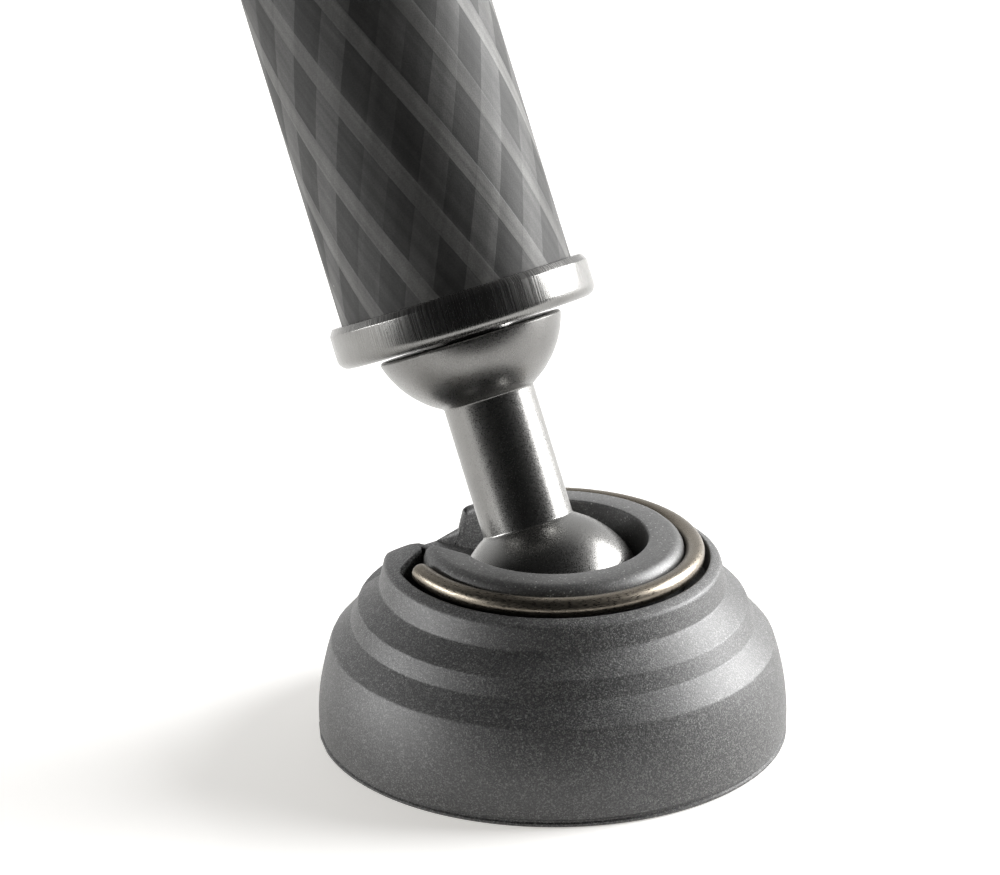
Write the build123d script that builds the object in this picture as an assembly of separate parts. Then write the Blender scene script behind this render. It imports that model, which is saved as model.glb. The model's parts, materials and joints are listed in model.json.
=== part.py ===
from build123d import *
from math import asin, cos, hypot, radians, sin, sqrt
import os

# A four-section camera monopod with twist locks and a swivelling rubber foot.
# Millimetres, +Z up. The origin is the centre of the foot's sole, on the floor.
# The foot stands flat and the tubes lean back over its ball joint. The leaning pieces
# are drawn upright about the Z axis, with the ball's centre at zero, and are then
# leaned over together. "Reach" is a distance along the tubes from the ball's centre.

# How it stands
LEAN = 25.0  # degrees from upright
LEAN_AZIMUTH = 133.5  # degrees from +X towards +Y
BALL_HEIGHT = 14.0

# Clearances shared by all the pieces
RUNNING = 0.05
GLUE = 0.02
SEAT = 0.1
OVERRUN = 1.0

# Rubber foot, from the floor up: main wall, two steps and the rim
SOLE_R = 25.0
SOLE_CHAMFER = 0.4
LIP_TOP = 1.2
WALL_MID_R = 24.72
WALL_MID_Z = 5.6
WALL_TOP_R = 23.55
WALL_TOP_Z = 10.3
LOW_STEP_FOOT_R = 21.5
LOW_STEP_FOOT_Z = 12.6
LOW_STEP_TOP_R = 20.65
LOW_STEP_TOP_Z = 14.5
HIGH_STEP_FOOT_R = 18.4
HIGH_STEP_FOOT_Z = 16.6
RIM_R = 17.8
RIM_SHOULDER_Z = 19.1
RIM_INNER_R = 16.57
RIM_TOP_Z = 19.85
BLOCK_MID_R = 15.1
BLOCK_MID_Z = 20.75
BLOCK_TOP_Z = 21.2
STEP_ROUND = 0.55
WALL_ROUND = 0.9
RIM_ROUND = 0.8
GROOVE_FLOOR_Z = 16.6
GROOVE_ROUND = 0.4
TREAD_DEPTH = 0.8
TREAD_WIDTH = 1.4
TREAD_RADIUS = 20.0
TREAD_PITCH = 5.2
TREAD_RINGS = 3
TREAD_BARS = 12
TREAD_BAR_WIDTH = 1.2

# Slot that the neck can swing down into, through the rim and the socket collar
SLOT_AZIMUTH = 148.0
SLOT_WIDTH = 14.6
SLOT_FLOOR_Z = 14.5
BLOCK_COLLAR_ANGLE = 40.5  # where the rim closes on the collar, either side of the slot
BLOCK_RIM_ANGLE = 49.0
STOP_INNER_R = 12.1  # how far in the blocks reach, in front of the collar's ends

# Socket collar round the ball, and the wire ring that squeezes it
COLLAR_R = 13.9
COLLAR_TOP_Z = 21.9
COLLAR_FOOT_Z = 10.05
COLLAR_OPENING_R = 10.1
COLLAR_NARROW_Z = 17.2
COLLAR_EDGE_ROUND = 1.3
COLLAR_LIP_ROUND = 0.25
COLLAR_SLOT_WIDTH = 16.9
COLLAR_NOSE_ROUND = 1.1
WIRE_R = 1.05
WIRE_HEIGHT = 20.2
WIRE_END_ANGLE = 56.0  # either side of the slot's middle

# Ball, neck, dome and hub, turned in one piece
BALL_R = 10.1
NECK_R = 4.93
NECK_ROUND = 0.35
DOME_R = 10.35
DOME_TOP_REACH = 29.8
DOME_CENTRE_ABOVE_TOP = 2.4
DOME_EDGE_ROUND = 0.4
HUB_R = 5.35
HUB_GAP = 0.4
HUB_LENGTH = 14.0
SHANK_R = 4.0
SHANK_LENGTH = 7.2
SHANK_CHAMFER = 0.5
WASHER_R = 7.6
WASHER_THICK = 1.0
NUT_FLATS = 13.0
NUT_HEIGHT = 5.0
NUT_CHAMFER = 0.6
NUT_CHAMFER_WIDTH = 1.2

# Seat cup under the ball
CUP_R = 11.3
CUP_BASE_R = 8.0
CUP_BASE_THICK = 1.25
CUP_SIDE_Z = 6.2
CUP_TOP_Z = 10.0

# Foot collar, on the end of the lowest tube
FOOT_COLLAR_R = 14.2
FOOT_COLLAR_HEIGHT = 4.5
FOOT_COLLAR_ROUND = 1.2
FOOT_COLLAR_CHAMFER_UP = 0.7
FOOT_COLLAR_CHAMFER_IN = 0.45
SPIGOT_LENGTH = 18.0
SPIGOT_CHAMFER = 0.6
NUT_ROOM = 0.9

# Tubes, numbered from the top. The lowest one is drawn out, the others are closed
LOWEST_TUBE_R = 12.65
SLIDE_GAP = 0.55
TUBE_WALLS = (1.5, 1.4, 1.3, 1.2)
UPPER_TUBE_LENGTH = 372.0
DRAWN_OUT = 60.0
END_ROOM = 10.0
KEYWAY_WIDTH = 3.2
KEYWAY_DEPTH = 0.5

# Guide bushes and caps on the upper ends of the sliding tubes
GUIDE_LENGTH = 16.0
GUIDE_INSET = 1.0
GUIDE_SPLIT = 1.0
KEY_WIDTH = 3.0
KEY_HEIGHT = 0.4
CAP_THICK = 1.5
CAP_PLUG = 5.0
CAP_WALL = 1.6
CAP_VENT_R = 2.0

# Twist locks
BUSH_WALL = 1.75
BUSH_GRIP = 18.0
BUSH_NOSE = 2.0
BUSH_NOSE_GAP = 0.25
BUSH_RIM = 1.6
BUSH_CHAMFER = 0.5
COLLET_LENGTH = 8.4
COLLET_THICK = 1.9
COLLET_THIN = 1.1
COLLET_SLIT = 1.2
COLLET_PLAY = 0.1
RING_WALL = 1.9
RING_UP = 14.0
RING_DOWN = 14.0
RING_FLANGE = 3.0
RING_FLANGE_RISE = 1.3
RING_CHAMFER = 0.9
RING_CHAMFER_LENGTH = 1.8
RING_TOP_ROOM = 0.3
RING_LIP_GAP = 0.5
SEAL_WIDTH = 1.8
SEAL_DEPTH = 1.2
SEAL_INSET = 0.9
GRIP_RISE = 1.75
GRIP_ROUND = 0.5
FLUTES = 24
FLUTE_R = 1.15
FLUTE_DEPTH = 0.75
FLUTE_END = 2.2
LOCK_SPACING = 1.5

# Hand grip round the upper tube
GRIP_LENGTH = 150.0
GRIP_WALL = 3.2
GRIP_LIP_RISE = 1.4
GRIP_LIP_LENGTH = 9.0
GRIP_LIP_ROUND = 1.6
GRIP_GROOVES = 9
GRIP_GROOVE_PITCH = 11.0
GRIP_GROOVE_WIDTH = 2.4
GRIP_GROOVE_FLOOR = 1.2
GRIP_GROOVE_DEPTH = 0.9
GRIP_GAP = 1.5
TRIM_LENGTH = 5.0
TRIM_WALL = 2.2
TRIM_ROUND = 0.6

# Head
HEAD_SKIRT_LENGTH = 22.0
HEAD_SKIRT_WALL = 2.1
HEAD_WAIST_LENGTH = 12.0
HEAD_TOP_R = 23.5
HEAD_ABOVE_TUBE = 9.0
HEAD_TOP_LAND = 3.0
HEAD_ROUND = 1.5
PLATE_OVERHANG = 4.5  # beyond the head's edge
PLATE_THICK = 4.5
PLATE_ROUND = 0.8
PAD_MARGIN = 1.4
PAD_INNER_R = 9.5
PAD_THICK = 1.4
PAD_SEAT_DEPTH = 0.6
PAD_RIB_PITCH = 2.6
PAD_RIB_WIDTH = 1.2
PAD_RIB_DEPTH = 0.4
PAD_RIBS = 6
STUD_R = 4.7625
STUD_LENGTH = 11.0
STUD_SHORT_R = 3.175
STUD_SHORT_LENGTH = 9.0
STUD_CHAMFER = 0.7
STUD_FLANGE_R = 8.0
STUD_FLANGE_THICK = 2.0
SCREW_CIRCLE_R = 17.0
SCREW_R = 2.0
SCREW_HEAD_R = 3.8
SCREW_HEAD_HEIGHT = 2.0
SCREW_LENGTH = 8.5
SCREW_SOCKET = 2.5
SCREW_SOCKET_DEPTH = 1.2
SET_SCREW_OFFSET = 2.1  # beyond the head's edge
SET_SCREW_R = 1.5
SET_SCREW_LENGTH = 3.6
SET_SCREW_SOCKET = 1.5
SET_SCREW_SOCKET_DEPTH = 1.0
SCREWS = 3

# Radii of the pieces that follow the head's edge
PLATE_R = HEAD_TOP_R + PLATE_OVERHANG
PAD_R = PLATE_R - PAD_MARGIN
SET_SCREW_CIRCLE_R = HEAD_TOP_R + SET_SCREW_OFFSET

# Places along the tubes, as reach from the ball's centre
COLLAR_REACH = DOME_TOP_REACH + HUB_GAP
TUBE_FOOT_REACH = COLLAR_REACH + FOOT_COLLAR_HEIGHT
NUT_SEAT_REACH = COLLAR_REACH + HUB_LENGTH
SECTIONS = len(TUBE_WALLS)


def tube_r(section):
    """Outer radius of a tube, built out from the lowest one."""
    steps = [SLIDE_GAP + wall for wall in TUBE_WALLS[section:SECTIONS - 1]]
    return LOWEST_TUBE_R + sum(steps)


def bore_r(section):
    return tube_r(section) - TUBE_WALLS[section]


def tube_end(section):
    """Reach of a tube's lower end, with its lock below the one above."""
    if section == SECTIONS - 1:
        return TUBE_FOOT_REACH
    lowest = TUBE_FOOT_REACH + DRAWN_OUT + RING_DOWN
    locks_between = SECTIONS - 2 - section
    return lowest + locks_between * (BUSH_GRIP + LOCK_SPACING + RING_DOWN)


def tube_top(section):
    """Reach of a tube's upper end: each is a little below the one outside it."""
    top = tube_end(0) + UPPER_TUBE_LENGTH - section * END_ROOM
    if section == SECTIONS - 1:
        top -= DRAWN_OUT - LOCK_SPACING
    return top


def guide_foot(section):
    return tube_top(section) - GUIDE_INSET - GUIDE_LENGTH


def leaning():
    """The plane that the upright pieces are moved to: its Z runs up the tubes."""
    lean, azimuth = radians(LEAN), radians(LEAN_AZIMUTH)
    up = Vector(sin(lean) * cos(azimuth), sin(lean) * sin(azimuth), cos(lean))
    side = Vector(0, 1, 0).cross(up)
    return Plane(origin=(0, 0, BALL_HEIGHT), x_dir=side, z_dir=up)


def turned(points, radii=0):
    """A solid of revolution about Z from (radius, height) corners, rounded by radii."""
    outline = FilletPolyline(*points, radius=radii, close=True)
    return revolve(Plane.XZ * make_face(outline), Axis.Z)


def ring(outer, inner, low, high):
    return turned([(inner, low), (outer, low), (outer, high), (inner, high)])


def disc(radius, low, high):
    return turned([(0, low), (radius, low), (radius, high), (0, high)])


def around(shape, count, first=0.0):
    """Copies of a shape, evenly spaced about Z."""
    return [Rot(Z=first + 360 * i / count) * shape for i in range(count)]


def prism(points, low, high):
    return extrude(Plane.XY.offset(low) * make_face(Polyline(*points, close=True)), high - low)


def hexagon(flats, low, high):
    face = RegularPolygon(flats / 2, 6, major_radius=False)
    return extrude(Plane.XY.offset(low) * face, high - low)


def polar(radius, angle):
    return (radius * cos(radians(angle)), radius * sin(radians(angle)))


def slot_face(width):
    """A straight slot along X, from the middle of the foot out past its wall."""
    return Rectangle(SOLE_R + OVERRUN, width, align=(Align.MIN, Align.CENTER))


def upright(face, low, high):
    """A face drawn with the slot along X, raised and turned to where the slot is."""
    return Rot(Z=SLOT_AZIMUTH) * extrude(Plane.XY.offset(low) * face, high - low)


def foot_outline():
    """Half of the foot's section, with the rim filled in as far as the collar."""
    cup_base_z = BALL_HEIGHT - BALL_R - RUNNING - CUP_BASE_THICK
    wall = ThreePointArc(
        (SOLE_R, LIP_TOP), (WALL_MID_R, WALL_MID_Z), (WALL_TOP_R, WALL_TOP_Z)
    )
    steps = FilletPolyline(
        (WALL_TOP_R, WALL_TOP_Z),
        (LOW_STEP_FOOT_R, LOW_STEP_FOOT_Z),
        (LOW_STEP_TOP_R, LOW_STEP_TOP_Z),
        (HIGH_STEP_FOOT_R, HIGH_STEP_FOOT_Z),
        (RIM_R, RIM_SHOULDER_Z),
        (RIM_INNER_R, RIM_TOP_Z),
        (BLOCK_MID_R, BLOCK_MID_Z),
        (COLLAR_R + RUNNING, BLOCK_TOP_Z),
        radius=(STEP_ROUND, STEP_ROUND, STEP_ROUND, RIM_ROUND, 0, 0),
    )
    inside = Polyline(
        (COLLAR_R + RUNNING, BLOCK_TOP_Z),
        (COLLAR_R + RUNNING, CUP_TOP_Z),
        (CUP_R + RUNNING, CUP_TOP_Z),
        (CUP_R + RUNNING, CUP_SIDE_Z - RUNNING),
        (CUP_BASE_R, cup_base_z - RUNNING),
        (0, cup_base_z - RUNNING),
        (0, 0),
        (SOLE_R - SOLE_CHAMFER, 0),
        (SOLE_R, SOLE_CHAMFER),
        (SOLE_R, LIP_TOP),
    )
    face = make_face(wall.edges() + steps.edges() + inside.edges())
    shoulder = face.vertices().sort_by_distance((WALL_TOP_R, WALL_TOP_Z, 0))[0]
    return fillet(shoulder, WALL_ROUND)


def groove_cut():
    """Room for the wire between rim and collar, closed at both sides of the slot."""
    room = turned(
        [
            (COLLAR_R + RUNNING, GROOVE_FLOOR_Z),
            (RIM_INNER_R, GROOVE_FLOOR_Z),
            (RIM_INNER_R, COLLAR_TOP_Z + OVERRUN),
            (COLLAR_R + RUNNING, COLLAR_TOP_Z + OVERRUN),
        ],
        (0, GROOVE_ROUND, 0, 0),
    )
    near_collar = [
        polar(COLLAR_R, SLOT_AZIMUTH + side * BLOCK_COLLAR_ANGLE) for side in (-1, 1)
    ]
    near_rim = [polar(RIM_INNER_R, SLOT_AZIMUTH + side * BLOCK_RIM_ANGLE) for side in (-1, 1)]
    beyond = [(x * 2, y * 2) for x, y in near_rim]
    corners = [(0, 0), near_collar[0], near_rim[0], *beyond, near_rim[1], near_collar[1]]
    return room - prism(corners, GROOVE_FLOOR_Z - OVERRUN, COLLAR_TOP_Z + 2 * OVERRUN)


def tongue():
    """Rubber in the collar's slot. The neck's slot leaves two stops of it for the collar."""
    band = ring(COLLAR_R + RUNNING, STOP_INNER_R, CUP_TOP_Z, BLOCK_TOP_Z)
    return band & upright(slot_face(COLLAR_SLOT_WIDTH - 2 * RUNNING), CUP_TOP_Z, BLOCK_TOP_Z)


def tread_cut():
    """Rings and short bars moulded into the sole."""
    low, high = -OVERRUN, TREAD_DEPTH
    radii = [TREAD_RADIUS - i * TREAD_PITCH for i in range(TREAD_RINGS)]
    cuts = [ring(r + TREAD_WIDTH / 2, r - TREAD_WIDTH / 2, low, high) for r in radii]
    length = radii[0] - radii[1]
    bar = Pos(radii[1] + length / 2, 0, (low + high) / 2) * Box(length, TREAD_BAR_WIDTH, high - low)
    return cuts + around(bar, TREAD_BARS)


def rubber_foot():
    foot = revolve(Plane.XZ * foot_outline(), Axis.Z) + tongue()
    slot = upright(slot_face(SLOT_WIDTH), SLOT_FLOOR_Z, COLLAR_TOP_Z + OVERRUN)
    return foot - groove_cut() - slot - tread_cut()


def socket_collar():
    """The springy C round the ball: a ball seat below, a flared mouth above."""
    seat_r = BALL_R + SEAT
    foot_h, narrow_h = COLLAR_FOOT_Z - BALL_HEIGHT, COLLAR_NARROW_Z - BALL_HEIGHT
    foot_r, narrow_r = sqrt(seat_r**2 - foot_h**2), sqrt(seat_r**2 - narrow_h**2)
    seat = ThreePointArc((foot_r, COLLAR_FOOT_Z), (seat_r, BALL_HEIGHT), (narrow_r, COLLAR_NARROW_Z))
    rest = FilletPolyline(
        (narrow_r, COLLAR_NARROW_Z),
        (COLLAR_OPENING_R, COLLAR_TOP_Z),
        (COLLAR_R, COLLAR_TOP_Z),
        (COLLAR_R, COLLAR_FOOT_Z),
        (foot_r, COLLAR_FOOT_Z),
        radius=(COLLAR_LIP_ROUND, COLLAR_EDGE_ROUND, 0),
    )
    collar = revolve(Plane.XZ * make_face(seat.edges() + rest.edges()), Axis.Z)
    return collar & upright(collar_plan(), COLLAR_FOOT_Z, COLLAR_TOP_Z)


def collar_plan():
    """The split collar seen from above, filled in, with the noses at its ends rounded."""
    plan = Circle(COLLAR_R) - slot_face(COLLAR_SLOT_WIDTH)
    noses = [v for v in plan.vertices() if hypot(v.X, v.Y) > COLLAR_OPENING_R]
    return fillet(noses, COLLAR_NOSE_ROUND)


def wire_ring():
    """Open ring of spring wire with rounded ends, lying against the collar."""
    centre_r = COLLAR_R + RUNNING + WIRE_R
    start = SLOT_AZIMUTH + WIRE_END_ANGLE
    middle = Plane.XY.offset(WIRE_HEIGHT)
    path = middle * CenterArc((0, 0, 0), centre_r, start, 360 - 2 * WIRE_END_ANGLE)
    section = Plane(origin=path @ 0, z_dir=path % 0) * Circle(WIRE_R)
    wire = sweep(section, path)
    for end in (path @ 0, path @ 1):
        wire += Pos(end) * Sphere(WIRE_R)
    return wire


def ball_cup():
    """The low cup that the ball turns in, free to turn in the foot."""
    seat_r = BALL_R + RUNNING
    top_r = sqrt(seat_r**2 - (CUP_TOP_Z - BALL_HEIGHT) ** 2)
    inside_z = BALL_HEIGHT - seat_r
    middle = asin(top_r / seat_r) / 2
    half_way = (seat_r * sin(middle), BALL_HEIGHT - seat_r * cos(middle))
    seat = ThreePointArc((0, inside_z), half_way, (top_r, CUP_TOP_Z - RUNNING))
    base_z = inside_z - CUP_BASE_THICK
    shell = Polyline(
        (top_r, CUP_TOP_Z - RUNNING),
        (CUP_R, CUP_TOP_Z - RUNNING),
        (CUP_R, CUP_SIDE_Z),
        (CUP_BASE_R, base_z),
        (0, base_z),
        (0, inside_z),
    )
    return revolve(Plane.XZ * make_face(seat.edges() + shell.edges()), Axis.Z)


def stem():
    """Ball, neck, dome, hub and threaded shank."""
    dome_centre = DOME_TOP_REACH + DOME_CENTRE_ABOVE_TOP
    dome_foot = dome_centre - sqrt(DOME_R**2 - NECK_R**2)
    dome_top_r = sqrt(DOME_R**2 - DOME_CENTRE_ABOVE_TOP**2)
    neck_foot = sqrt(BALL_R**2 - NECK_R**2)
    half_way = (asin(NECK_R / DOME_R) + asin(dome_top_r / DOME_R)) / 2
    dome_middle = (DOME_R * sin(half_way), dome_centre - DOME_R * cos(half_way))
    ball = ThreePointArc((0, -BALL_R), (BALL_R, 0), (NECK_R, neck_foot))
    neck = Line((NECK_R, neck_foot), (NECK_R, dome_foot))
    dome = ThreePointArc((NECK_R, dome_foot), dome_middle, (dome_top_r, DOME_TOP_REACH))
    hub_top = NUT_SEAT_REACH - RUNNING
    shank_top = NUT_SEAT_REACH + SHANK_LENGTH
    rest = Polyline(
        (dome_top_r, DOME_TOP_REACH),
        (HUB_R, DOME_TOP_REACH),
        (HUB_R, hub_top),
        (SHANK_R, hub_top),
        (SHANK_R, shank_top - SHANK_CHAMFER),
        (SHANK_R - SHANK_CHAMFER, shank_top),
        (0, shank_top),
        (0, -BALL_R),
    )
    face = make_face(ball.edges() + neck.edges() + dome.edges() + rest.edges())
    for spot, radius in (
        ((NECK_R, neck_foot, 0), NECK_ROUND),
        ((NECK_R, dome_foot, 0), NECK_ROUND),
        ((dome_top_r, DOME_TOP_REACH, 0), DOME_EDGE_ROUND),
    ):
        face = fillet(face.vertices().sort_by_distance(spot)[0], radius)
    return revolve(Plane.XZ * face, Axis.Z)


def stem_washer():
    low = NUT_SEAT_REACH + RUNNING
    return ring(WASHER_R, SHANK_R + RUNNING, low, low + WASHER_THICK)


def nut_foot():
    return NUT_SEAT_REACH + WASHER_THICK + 2 * RUNNING


def stem_nut():
    low, high = nut_foot(), nut_foot() + NUT_HEIGHT
    corner_r = NUT_FLATS / sqrt(3)
    chamfered = turned(
        [
            (0, low),
            (corner_r, low),
            (corner_r, high - NUT_CHAMFER),
            (corner_r - NUT_CHAMFER_WIDTH, high),
            (0, high),
        ]
    )
    bore = disc(SHANK_R + GLUE, low - OVERRUN, high + OVERRUN)
    return (hexagon(NUT_FLATS, low, high) & chamfered) - bore


def foot_collar():
    """Flange below the lowest tube, with a spigot inside it that carries the stem."""
    spigot_r = bore_r(SECTIONS - 1) - GLUE
    spigot_top = TUBE_FOOT_REACH + SPIGOT_LENGTH
    room_r = WASHER_R + NUT_ROOM
    return turned(
        [
            (HUB_R + RUNNING, COLLAR_REACH),
            (FOOT_COLLAR_R, COLLAR_REACH),
            (FOOT_COLLAR_R, TUBE_FOOT_REACH - FOOT_COLLAR_CHAMFER_UP),
            (FOOT_COLLAR_R - FOOT_COLLAR_CHAMFER_IN, TUBE_FOOT_REACH),
            (spigot_r, TUBE_FOOT_REACH),
            (spigot_r, spigot_top - SPIGOT_CHAMFER),
            (spigot_r - SPIGOT_CHAMFER, spigot_top),
            (room_r, spigot_top),
            (room_r, NUT_SEAT_REACH),
            (HUB_R + RUNNING, NUT_SEAT_REACH),
        ],
        (0, FOOT_COLLAR_ROUND, 0, 0, 0, 0, 0, 0, 0, 0),
    )


def tube(section):
    """A carbon tube. All but the lowest have two keyways down the bore."""
    low, high = tube_end(section), tube_top(section)
    body = ring(tube_r(section), bore_r(section), low + GLUE, high)
    if section == SECTIONS - 1:
        return body
    across = 2 * (bore_r(section) + KEYWAY_DEPTH)
    keyway = Box(across, KEYWAY_WIDTH, high - low + 2 * OVERRUN)
    return body - Pos(0, 0, (low + high) / 2) * keyway


def guide_bush(section):
    """Split sleeve at the top of a sliding tube, with keys for the keyways outside it."""
    low = guide_foot(section)
    outer, inner = bore_r(section - 1) - RUNNING, tube_r(section) + GLUE
    keys = Box(2 * (outer + KEY_HEIGHT), KEY_WIDTH, GUIDE_LENGTH)
    bush = ring(outer, inner, low, low + GUIDE_LENGTH) + Pos(0, 0, low + GUIDE_LENGTH / 2) * keys
    bush -= disc(inner, low - OVERRUN, low + GUIDE_LENGTH + OVERRUN)
    split = Box(GUIDE_SPLIT, 2 * (outer + OVERRUN), GUIDE_LENGTH + OVERRUN)
    return bush - Pos(0, 0, low + GUIDE_LENGTH / 2) * split


def end_cap(section):
    """Cup-shaped plug in the upper end of a sliding tube, with an air hole."""
    top, bore = tube_top(section), bore_r(section) - GLUE
    return turned(
        [
            (CAP_VENT_R, top + GLUE),
            (bore - CAP_WALL, top + GLUE),
            (bore - CAP_WALL, top - CAP_PLUG),
            (bore, top - CAP_PLUG),
            (bore, top + GLUE),
            (tube_r(section), top + GLUE),
            (tube_r(section), top + CAP_THICK),
            (CAP_VENT_R, top + CAP_THICK),
        ],
    )


def bush_r(section):
    return tube_r(section) + GLUE + BUSH_WALL


def lock_bush(section):
    """Threaded sleeve bonded round a tube's end, with a nose that stops the guide bush."""
    end, outer = tube_end(section), bush_r(section)
    nose_r = tube_r(section + 1) + BUSH_NOSE_GAP
    high = end + BUSH_GRIP
    rim_r = outer + BUSH_RIM
    rim_low = end + RING_UP + RING_TOP_ROOM
    return turned(
        [
            (nose_r, end - BUSH_NOSE),
            (outer - BUSH_CHAMFER, end - BUSH_NOSE),
            (outer, end - BUSH_NOSE + BUSH_CHAMFER),
            (outer, rim_low),
            (rim_r, rim_low),
            (rim_r, high - BUSH_RIM),
            (tube_r(section) + GLUE + BUSH_CHAMFER, high),
            (tube_r(section) + GLUE, high),
            (tube_r(section) + GLUE, end),
            (nose_r, end),
        ]
    )


def collet_top(section):
    return tube_end(section) - BUSH_NOSE - COLLET_PLAY


def collet(section):
    """Split taper sleeve that the lock ring squeezes onto the inner tube."""
    inner, high = tube_r(section + 1) + RUNNING, collet_top(section)
    low = high - COLLET_LENGTH
    sleeve = turned(
        [
            (inner, low),
            (inner + COLLET_THIN, low),
            (inner + COLLET_THICK, high),
            (inner, high),
        ]
    )
    slit = Pos(inner + COLLET_THICK / 2, 0, (low + high) / 2) * Box(
        COLLET_THICK + OVERRUN, COLLET_SLIT, COLLET_LENGTH + OVERRUN
    )
    return sleeve - slit


def ring_r(section):
    return bush_r(section) + RUNNING + RING_WALL


def lock_ring(section):
    """Outer ring of a twist lock: threaded above, a taper for the collet, a lip below."""
    end, slide_r = tube_end(section), tube_r(section + 1)
    high, low = end + RING_UP, end - RING_DOWN
    thread_r, outer = bush_r(section) + RUNNING, ring_r(section)
    flange_r = outer + RING_FLANGE_RISE
    taper_top = collet_top(section)
    taper_low = taper_top - COLLET_LENGTH - COLLET_PLAY
    cone_r = slide_r + 2 * RUNNING
    seal_low = low + SEAL_INSET
    return turned(
        [
            (thread_r, high),
            (thread_r, taper_top),
            (cone_r + COLLET_THICK, taper_top),
            (cone_r + COLLET_THIN, taper_low),
            (slide_r + RING_LIP_GAP, taper_low),
            (slide_r + RING_LIP_GAP, seal_low + SEAL_WIDTH),
            (slide_r + SEAL_DEPTH, seal_low + SEAL_WIDTH),
            (slide_r + SEAL_DEPTH, seal_low),
            (slide_r + RING_LIP_GAP, seal_low),
            (slide_r + RING_LIP_GAP, low),
            (outer - RING_CHAMFER, low),
            (flange_r, low + RING_CHAMFER_LENGTH),
            (flange_r, low + RING_FLANGE),
            (outer, low + RING_FLANGE),
            (outer, high - RING_FLANGE),
            (flange_r, high - RING_FLANGE),
            (flange_r, high - RING_CHAMFER),
            (flange_r - RING_CHAMFER, high),
        ]
    )


def ring_seal(section):
    slide_r, low = tube_r(section + 1), tube_end(section) - RING_DOWN + SEAL_INSET
    inner, outer = slide_r + RUNNING, slide_r + SEAL_DEPTH - GLUE
    return ring(outer, inner, low + GLUE, low + SEAL_WIDTH - GLUE)


def ring_grip(section):
    """Rubber band round a lock ring, with flutes for the fingers."""
    inner = ring_r(section) + GLUE
    outer = ring_r(section) + GRIP_RISE
    low = tube_end(section) - RING_DOWN + RING_FLANGE + GLUE
    high = tube_end(section) + RING_UP - RING_FLANGE - GLUE
    band = turned(
        [(inner, low), (outer, low), (outer, high), (inner, high)], (0, GRIP_ROUND, GRIP_ROUND, 0)
    )
    flute = Pos(outer + FLUTE_R - FLUTE_DEPTH, 0, (low + high) / 2) * Cylinder(
        FLUTE_R, high - low - 2 * FLUTE_END
    )
    return band - around(flute, FLUTES)


def head_foot():
    return tube_top(0) - HEAD_SKIRT_LENGTH


def head_casting():
    """Socket on the upper tube that flares out to carry the plate."""
    inner, top = tube_r(0) + GLUE, tube_top(0)
    skirt_r = inner + HEAD_SKIRT_WALL
    high = top + HEAD_ABOVE_TUBE
    body = turned(
        [
            (0, high),
            (0, top + GLUE),
            (inner, top + GLUE),
            (inner, head_foot()),
            (skirt_r, head_foot()),
            (skirt_r, top - HEAD_SKIRT_LENGTH + HEAD_WAIST_LENGTH),
            (HEAD_TOP_R, high - HEAD_TOP_LAND),
            (HEAD_TOP_R, high),
        ],
        (0, 0, 0, 0, HEAD_ROUND, HEAD_ROUND, HEAD_ROUND, 0),
    )
    body -= disc(STUD_SHORT_R + RUNNING, top - OVERRUN, high + OVERRUN)
    hole = disc(SCREW_R + GLUE, plate_screw_foot() - RUNNING, high + OVERRUN)
    return body - around(Pos(SCREW_CIRCLE_R, 0, 0) * hole, SCREWS)


def plate_foot():
    return tube_top(0) + HEAD_ABOVE_TUBE + GLUE


def plate_top():
    return plate_foot() + PLATE_THICK


def plate_screw_foot():
    return plate_top() - PAD_SEAT_DEPTH - GLUE - SCREW_LENGTH


def top_plate():
    """Round plate with a recess for the pad, the stud's hole and its screw holes."""
    low, high = plate_foot(), plate_top()
    plate = turned(
        [(0, low), (PLATE_R, low), (PLATE_R, high), (0, high)], (0, PLATE_ROUND, PLATE_ROUND, 0)
    )
    plate -= disc(PAD_R + GLUE, high - PAD_SEAT_DEPTH, high + OVERRUN)
    plate -= disc(STUD_SHORT_R + RUNNING, low - OVERRUN, high + OVERRUN)
    plate -= disc(STUD_FLANGE_R + GLUE, high - PAD_SEAT_DEPTH - STUD_FLANGE_THICK, high + OVERRUN)
    screw = screw_shape(plate_screw_foot(), GLUE)
    set_screw = disc(SET_SCREW_R + GLUE, low - OVERRUN, low + SET_SCREW_LENGTH + GLUE)
    cuts = around(Pos(SCREW_CIRCLE_R, 0, 0) * screw, SCREWS)
    cuts += around(Pos(SET_SCREW_CIRCLE_R, 0, 0) * set_screw, SCREWS, first=180 / SCREWS)
    return plate - cuts


def screw_shape(low, grow=0.0):
    """Countersunk screw, grown all round where it is used as a hole."""
    high = low + SCREW_LENGTH
    head_low = high - SCREW_HEAD_HEIGHT
    outline = [
        (0, low),
        (SCREW_R + grow, low),
        (SCREW_R + grow, head_low),
        (SCREW_HEAD_R + grow, high),
    ]
    if grow:
        outline.append((SCREW_HEAD_R + grow, high + grow))
    return turned(outline + [(0, high + grow)])


def plate_screws():
    low = plate_screw_foot()
    high = low + SCREW_LENGTH
    screw = screw_shape(low) - hexagon(SCREW_SOCKET, high - SCREW_SOCKET_DEPTH, high + OVERRUN)
    return Compound(around(Pos(SCREW_CIRCLE_R, 0, 0) * screw, SCREWS))


def set_screws():
    low = plate_foot()
    screw = disc(SET_SCREW_R, low, low + SET_SCREW_LENGTH)
    screw -= hexagon(SET_SCREW_SOCKET, low - OVERRUN, low + SET_SCREW_SOCKET_DEPTH)
    return Compound(around(Pos(SET_SCREW_CIRCLE_R, 0, 0) * screw, SCREWS, first=180 / SCREWS))


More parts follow.
